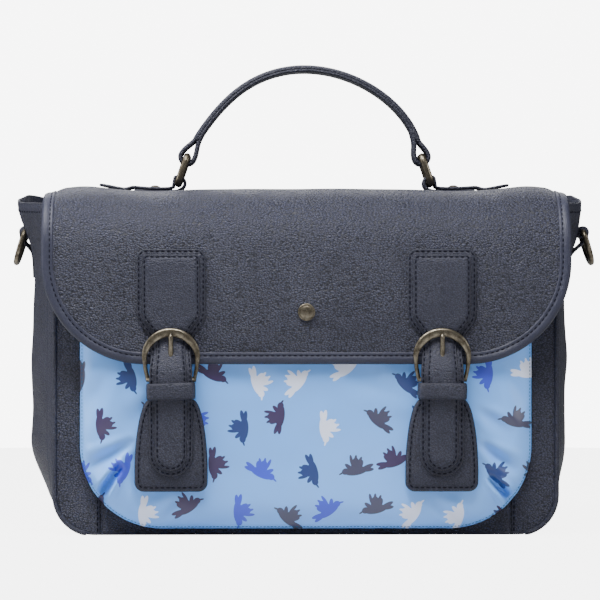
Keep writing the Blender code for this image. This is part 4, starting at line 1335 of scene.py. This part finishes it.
RING_DROP, RING_TILT = 21.5 * MM, math.radians(19)
RING_X, RING_Z = 97.5 * MM, FLAP_TOP_Z + 5.2 * MM
RING_WIRE_R = 2.8 * MM
BAR_X = RING_X - RING_DROP * math.sin(RING_TILT)  # the ring's upper bar, which carries the handle
BAR_Z = RING_Z + RING_DROP * math.cos(RING_TILT)
HANDLE_HALF = 11 * MM
HANDLE_LAYER_T = 2.8 * MM
HANDLE_FACE = 2.3 * MM  # each layer's face from the handle's middle, before its crown
HANDLE_SEAM = 1.9 * MM
HANDLE_CUT = 268 * MM  # nominal length of the handle's flat pattern
HANDLE_APEX_Z = 355.2 * MM
HANDLE_LEAN = 3.2 * MM  # the arch stands a little to the right


def place_ring(name, path, origin, direction, radius):
    points = [origin + direction * a + Vector((0, y, 0)) for a, y in path]
    return tube(name, points, radius, OLD_BRASS, sides=16)


def ribbon(path, across):
    """Places a strip along a path of (x, z) points. Its outer face is to the path's left."""
    lengths = [0.0]
    for (x0, z0), (x1, z1) in zip(path, path[1:]):
        lengths.append(lengths[-1] + math.hypot(x1 - x0, z1 - z0))
    normals = []
    for i in range(len(path)):
        (x0, z0), (x1, z1) = path[max(i - 1, 0)], path[min(i + 1, len(path) - 1)]
        size = math.hypot(x1 - x0, z1 - z0)
        normals.append(((z0 - z1) / size, (x1 - x0) / size))

    def place(p, q, lift):
        index = min(max(int(np.searchsorted(lengths, q)) - 1, 0), len(path) - 2)
        share = min(max((q - lengths[index]) / (lengths[index + 1] - lengths[index]), 0), 1)
        x, z, nx, nz = (
            a + (b - a) * share
            for a, b in zip((*path[index], *normals[index]), (*path[index + 1], *normals[index + 1]))
        )
        size = math.hypot(nx, nz)
        return Vector((x + nx / size * lift, HANDLE_Y + across * p, z + nz / size * lift))

    return place, lengths[-1]


def make_handle_hardware():
    rows = []
    for label, side in SIDES:
        origin = Vector((side * RING_X, HANDLE_Y, RING_Z))
        direction = Vector((-side * math.sin(RING_TILT), 0, math.cos(RING_TILT)))
        link = link_path(RING_DROP, 14.4 * MM, 4.5 * MM)
        ring = place_ring(f"handle_ring_{label}_brass", link, origin, direction, RING_WIRE_R)
        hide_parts(f"handle_ring_{label}")
        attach(ring, f"handle_ring_{label}")
        rows.append(make_handle_tab(label, side))
    stitches = sew("handle_tab_stitches", rows, thickness=0.6 * MM)
    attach(stitches, "flap_top")


def top_of_flap(x):
    """The height of the flap's top under the handle."""
    return flap_at(x, FLAP_FACE_Y + FLAP_BEND - HANDLE_Y, 0.2 * MM).z


def make_handle_tab(label, side):
    """The tab: a strip that lies on the flap, turns over the ring's lower bar and tucks back under itself."""
    thick, loop_r, far, tuck = 2.3 * MM, 6.3 * MM, 61 * MM, 36 * MM
    # Distances outward from the bar, then heights, from the tab's far end over the bar and back beneath.
    path = []
    for i in range(29):
        x = far - 2 * MM * i
        over_tuck = (thick + 0.2 * MM) * ease((tuck + 6 * MM - x) / (8 * MM))
        curl = 1.6 * MM * ease((x - far + 26 * MM) / (26 * MM))
        path.append((x, top_of_flap(side * (RING_X + x)) + thick + over_tuck + curl))
    path += [(loop_r * math.cos(a), RING_Z + loop_r * math.sin(a)) for a in turns(55, 235, 22)]
    path += [(x * MM, top_of_flap(side * (RING_X + x * MM))) for x in range(0, 36, 2)]
    path = [(side * (RING_X + x), z) for x, z in path]
    # The outer face is to the path's left when it runs inward over the top from the right.
    place, length = ribbon(path, side)
    sign = -1 if side > 0 else 1

    def outward(p, q, lift, place=place, sign=sign):
        base = place(p, q, 0)
        out = place(p, q, 1) - base
        return base + out * sign * lift

    outline = [
        *arc((0, HANDLE_HALF), HANDLE_HALF, 180, 360, 16), (HANDLE_HALF, length), (-HANDLE_HALF, length)
    ]
    outline = evenly(outline, 2.2 * MM)
    strip = cut_piece(
        f"handle_tab_{label}_leather",
        outline,
        outward,
        thick,
        STRAP_LEATHER,
        2.6 * MM,
        (1.9 * MM,),
        0.1 * MM,
    )
    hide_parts(f"handle_tab_{label}")
    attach(strip, "flap_top")
    sewn_to = 47 * MM  # the stitches stop short of the ring
    edge = [(p, q) for p, q in inward(outline, 1.9 * MM) if q < sewn_to]
    row = sorted(edge, key=lambda point: math.atan2(point[0], sewn_to - point[1]))
    return [outward(p, q, -0.3 * MM) for p, q in row], False


def arch(share):
    """The handle seen from the front: its middle and outward direction, from the left ring to the right."""
    reach = math.radians(69)
    angle = -reach + 2 * reach * share
    across, rise = BAR_X / math.sin(reach), (HANDLE_APEX_Z - BAR_Z) / (1 - math.cos(reach))
    height = (HANDLE_APEX_Z - BAR_Z) - rise * (1 - math.cos(angle))
    lean = HANDLE_LEAN * math.sin(math.pi * height / (HANDLE_APEX_Z - BAR_Z))
    normal = Vector((math.sin(angle) / across, 0, math.cos(angle) / rise)).normalized()
    return Vector((across * math.sin(angle) + lean, HANDLE_Y, BAR_Z + height)), normal


def make_handle():
    """Two crowned layers of leather sewn along both edges, with a loop at each end round its ring."""
    length = HANDLE_CUT

    def outer(p, q, lift):
        centre, normal = arch(q / length)
        crown = 1.2 * MM * max(0, 1 - (p / HANDLE_HALF) ** 2)
        return centre + normal * (HANDLE_FACE + crown + lift) + Vector((0, p, 0))

    def under(p, q, lift):
        centre, normal = arch(q / length)
        crown = 0.5 * MM * max(0, 1 - (p / HANDLE_HALF) ** 2)
        return centre - normal * (HANDLE_FACE + crown + lift) + Vector((0, -p, 0))

    def edge(margin):
        half = HANDLE_HALF
        return evenly(
            [(-half, margin), (half, margin), (half, length - margin), (-half, length - margin)], 3 * MM
        )

    long_edge, short_edge = edge(13 * MM), edge(15 * MM)
    strap = cut_piece(
        "handle_leather", long_edge, outer, HANDLE_LAYER_T, STRAP_LEATHER, 3 * MM, (HANDLE_SEAM,), 0.2 * MM
    )
    lower = cut_piece(
        "handle_underside_leather",
        short_edge,
        under,
        HANDLE_LAYER_T,
        STRAP_LEATHER,
        3 * MM,
        (HANDLE_SEAM,),
        0.2 * MM,
    )
    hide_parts("handle_strap")
    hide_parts("handle_underlay")
    rows = [
        sewn_row(long_edge, HANDLE_SEAM, outer, -0.5 * MM),
        sewn_row(short_edge, HANDLE_SEAM, under, -0.5 * MM),
    ]
    stitches = sew("handle_stitches", rows, thickness=0.6 * MM)
    pieces = [strap, lower, stitches]
    for label, side in SIDES:
        pieces.append(make_handle_loop(label, side, length))
    for piece in pieces:
        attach(piece, "handle")


def make_handle_loop(label, side, length):
    """The handle's end, turned round the ring's upper bar in a drop-shaped loop."""
    centre, normal = arch(25 * MM / length if side < 0 else 1 - 25 * MM / length)
    bar = Vector((side * BAR_X, HANDLE_Y, BAR_Z))
    axis = (centre - bar).normalized()
    out = normal - axis * normal.dot(axis)
    out.normalize()
    reach = (centre - bar).length
    loop_r, thick, half_gap = 7.2 * MM, 3.5 * MM, 2.6 * MM
    slope = math.acos((loop_r - half_gap) / reach)
    steps = 8
    shape = []
    for i in range(steps):
        share = i / steps
        along = reach * (1 - share) + loop_r * math.cos(slope) * share
        shape.append((along, half_gap + (loop_r * math.sin(slope) - half_gap) * ease(share) ** 2))
    start, end = math.degrees(slope), 360 - math.degrees(slope)
    shape += [(loop_r * math.cos(a), loop_r * math.sin(a)) for a in turns(start, end, 30)]
    shape += [(u, -v) for u, v in reversed(shape[:steps])]
    points = [bar + axis * u + out * v for u, v in shape]
    place, run = ribbon([(point.x, point.z) for point in points], 1)
    sign = 1 if side > 0 else -1

    def outward(p, q, lift):
        base = place(p, q, 0)
        return base + (place(p, q, 1) - base) * sign * lift

    half = HANDLE_HALF
    outline = evenly([(-half, 0), (half, 0), (half, run), (-half, run)], 2.2 * MM)
    return cut_piece(f"handle_loop_{label}_leather", outline, outward, thick, STRAP_LEATHER, 2.6 * MM, (), 0)


SIDE_RING_X, SIDE_RING_Z = 215.5 * MM, 229.5 * MM
SIDE_RING_DROP, SIDE_WIRE_R = 24.5 * MM, 2.3 * MM
SIDE_RING_TILT = math.radians(17)
SIDE_TAB_HALF = 9 * MM


def make_side_rings():
    for label, side in SIDES:
        origin = Vector((side * SIDE_RING_X, middle(f"side_tab_{label}").y, SIDE_RING_Z))
        direction = Vector((side * math.sin(SIDE_RING_TILT), 0, -math.cos(SIDE_RING_TILT)))
        ring = place_ring(
            f"side_ring_{label}_brass", dee_path(SIDE_RING_DROP), origin, direction, SIDE_WIRE_R
        )
        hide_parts(f"side_ring_{label}")
        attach(ring, f"side_ring_{label}")
        tab_low = low(f"side_tab_{label}").z
        swell = LEFT_SWELL if side < 0 else RIGHT_SWELL
        place_on = gusset_at(side, swell)
        depth = BACK_Y - FRONT_Y - 2 * LEATHER_T

        def place(p, q, lift, place_on=place_on, origin=origin, side=side):
            flat = place_on(depth / 2 + side * -p, GUSSET_LENGTH - RIM_Z + q, 0)
            share = ease((q - (origin.z - 17 * MM)) / (14 * MM))
            x = abs(flat.x) + 1.8 * MM
            x += (abs(origin.x) + 4.4 * MM - x) * share
            return Vector((side * (x + lift), origin.y + p * -side, q))

        half = SIDE_TAB_HALF
        outline = evenly([(-half, tab_low), (half, tab_low), (half, origin.z), (-half, origin.z)], 2.5 * MM)
        tab = cut_piece(f"side_tab_{label}_leather", outline, place, 3.0 * MM, STRAP_LEATHER, 3 * MM)
        ends = [origin + Vector((0, y * MM, 0)) for y in (-9, -8.4, 0, 8.4, 9)]
        turn = tube(f"side_tab_turn_{label}_leather", ends, 4.8 * MM, STRAP_LEATHER, closed=False, sides=20)
        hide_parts(f"side_tab_{label}")
        for piece in (tab, turn):
            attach(piece, "bag_body")


STUD_PROFILE = (
    (0, 2.0),
    (3.4, 1.9),
    (4.6, 1.55),
    (5.0, 1.25),
    (5.4, 1.5),
    (6.1, 1.45),
    (6.5, 1.0),
    (6.5, 0.0),
    (0, 0.0),
)
RIVET_PROFILE = ((0, 2.2), (1.6, 2.05), (3.0, 1.55), (4.0, 0.8), (4.4, 0.2), (4.4, 0.0), (0, 0.0))


def turned(name, profile, seat, out, material, sides=40):
    """A turned metal piece: its profile as (radius, height) in mm, standing on the seat."""
    side = out.orthogonal().normalized()
    other = out.cross(side)
    points, rings = [], []
    for radius, height in profile:
        centre = seat + out * height * MM
        if radius == 0:
            rings.append([len(points)] * sides)
            points.append(centre)
            continue
        rings.append(list(range(len(points), len(points) + sides)))
        for k in range(sides):
            a = 2 * math.pi * k / sides
            points.append(centre + (side * math.cos(a) + other * math.sin(a)) * radius * MM)
    faces = []
    for upper, lower in zip(rings, rings[1:]):
        for k in range(sides):
            n = (k + 1) % sides
            corners = list(dict.fromkeys((upper[k], upper[n], lower[n], lower[k])))
            faces.append(tuple(corners))
    piece = add_piece(name, mesh_of(name, points, faces), material)
    turn_outward(piece)
    return piece


def make_studs():
    """The plain round stud on the flap, and the rivets through the handle's tabs."""
    seat = flap_at(0, front_s(middle("badge").z), 0.05 * MM)
    stud = turned("flap_stud_brass", STUD_PROFILE, seat, Vector((0, -1, 0)), OLD_BRASS)
    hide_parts("badge")
    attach(stud, "flap_front")
    for label, _ in SIDES:
        rivet_x = middle(f"handle_rivet_{label}").x
        rivet_seat = Vector((rivet_x, HANDLE_Y, top_of_flap(rivet_x) + 4.3 * MM))
        rivet = turned(f"handle_rivet_{label}_brass", RIVET_PROFILE, rivet_seat, Vector((0, 0, 1)), OLD_BRASS)
        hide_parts(f"handle_rivet_{label}")
        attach(rivet, "flap_top")


def dress_cad(names, material):
    for name in names:
        obj = bpy.data.objects[name]
        obj.data.materials.clear()
        obj.data.materials.append(material)


# ---------------------------------------------------------------- floor, light and camera


FLOOR_R = 1.35
STUDIO_WHITE = 7.5
# Soft lights: name, place, what it faces, its two sides in metres, and its power in watts.
SOFTBOXES = (
    ("softbox_above", (-0.25, -0.42, 0.98), (0, -0.02, 0.16), (1.1, 0.3), 29),
    ("softbox_left", (-1.6, -0.2, 0.55), (0, 0, 0.15), (0.5, 0.7), 10),
    ("softbox_right", (1.5, -0.6, 0.7), (0, 0, 0.15), (0.5, 0.7), 8),
    ("softbox_behind", (0, 1.2, 1.1), (0, 0, 0.15), (1.6, 0.6), 14),
)


def make_stage():
    floor_mat, tree, shader = start_material("pale_floor")
    shader.inputs["Base Color"].default_value = (0.6, 0.6, 0.6, 1)
    shader.inputs["Roughness"].default_value = 0.9
    shader.inputs["Specular IOR Level"].default_value = 0.1
    glow = add(tree, "ShaderNodeEmission", {"Color": (1, 1, 1, 1), "Strength": STUDIO_WHITE})
    seen = add(tree, "ShaderNodeLightPath").outputs["Is Camera Ray"]
    share = maths(tree, "MULTIPLY", seen, 0.72)
    mixed = add(tree, "ShaderNodeMixShader", {0: share, 1: shader.outputs[0], 2: glow.outputs[0]})
    tree.links.new(mixed.outputs[0], tree.nodes["Material Output"].inputs["Surface"])
    edge = arc((0, 0), FLOOR_R, 0, 360, 96)[:-1]
    piece = add_piece(
        "floor", mesh_of("floor", [(x, y, 0) for x, y in edge], [tuple(range(len(edge)))]), floor_mat
    )
    piece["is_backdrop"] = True
    make_studio_world()
    for lamp in SOFTBOXES:
        add_light(*lamp)


def make_studio_world():
    """A white studio to look at, with only a soft share of that light on the bag."""
    world = bpy.data.worlds.new("studio")
    bpy.context.scene.world = world
    world.use_nodes = True
    tree = world.node_tree
    soft = tree.nodes["Background"]
    soft.inputs["Color"].default_value = (0.95, 0.97, 1.0, 1)
    soft.inputs["Strength"].default_value = 0.08
    bright = add(tree, "ShaderNodeBackground", {"Color": (1, 1, 1, 1), "Strength": STUDIO_WHITE})
    seen = add(tree, "ShaderNodeLightPath").outputs["Is Camera Ray"]
    mixed = add(tree, "ShaderNodeMixShader", {0: seen, 1: soft.outputs[0], 2: bright.outputs[0]})
    tree.links.new(mixed.outputs[0], tree.nodes["World Output"].inputs["Surface"])


def add_light(name, place, target, size, power):
    light = bpy.data.lights.new(name, "AREA")
    light.shape = "RECTANGLE"
    light.size, light.size_y = size
    light.energy = power
    lamp = bpy.data.objects.new(name, light)
    lamp.location = place
    lamp.rotation_euler = (Vector(target) - Vector(place)).to_track_quat("-Z", "Y").to_euler()
    bpy.context.scene.collection.objects.link(lamp)


def make_camera():
    data = bpy.data.cameras.new("camera")
    distance = 2.3
    view_width = 452 * MM  # across the frame at the front seams
    data.sensor_width = 36
    data.lens = 36 * distance / view_width
    camera = bpy.data.objects.new("camera", data)
    turn = math.radians(-1.0)
    target = Vector((-4.5 * MM, FRONT_Y, 177 * MM))
    camera.location = target + Vector((math.sin(turn) * distance, -math.cos(turn) * distance, 0))
    camera.rotation_euler = (target - camera.location).to_track_quat("-Z", "Y").to_euler()
    bpy.context.scene.collection.objects.link(camera)
    bpy.context.scene.camera = camera


make_camera()
make_stage()
make_shell()
make_pocket()
make_flap()
make_straps()
make_handle_hardware()
make_handle()
make_side_rings()
make_studs()
snap_nodes = ["snap_socket", "snap_stud", "socket_washer"]
dress_cad([f"{node}_{label}" for node in snap_nodes for label, _ in SIDES] + ["badge_washer"], SNAP_STEEL)
dress_cad(["base_board"], LINING_CLOTH)

boxes = {"cad": CAD_BOX, "visual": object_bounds()}
{name: [list(corner) for corner in box] for name, box in boxes.items()}
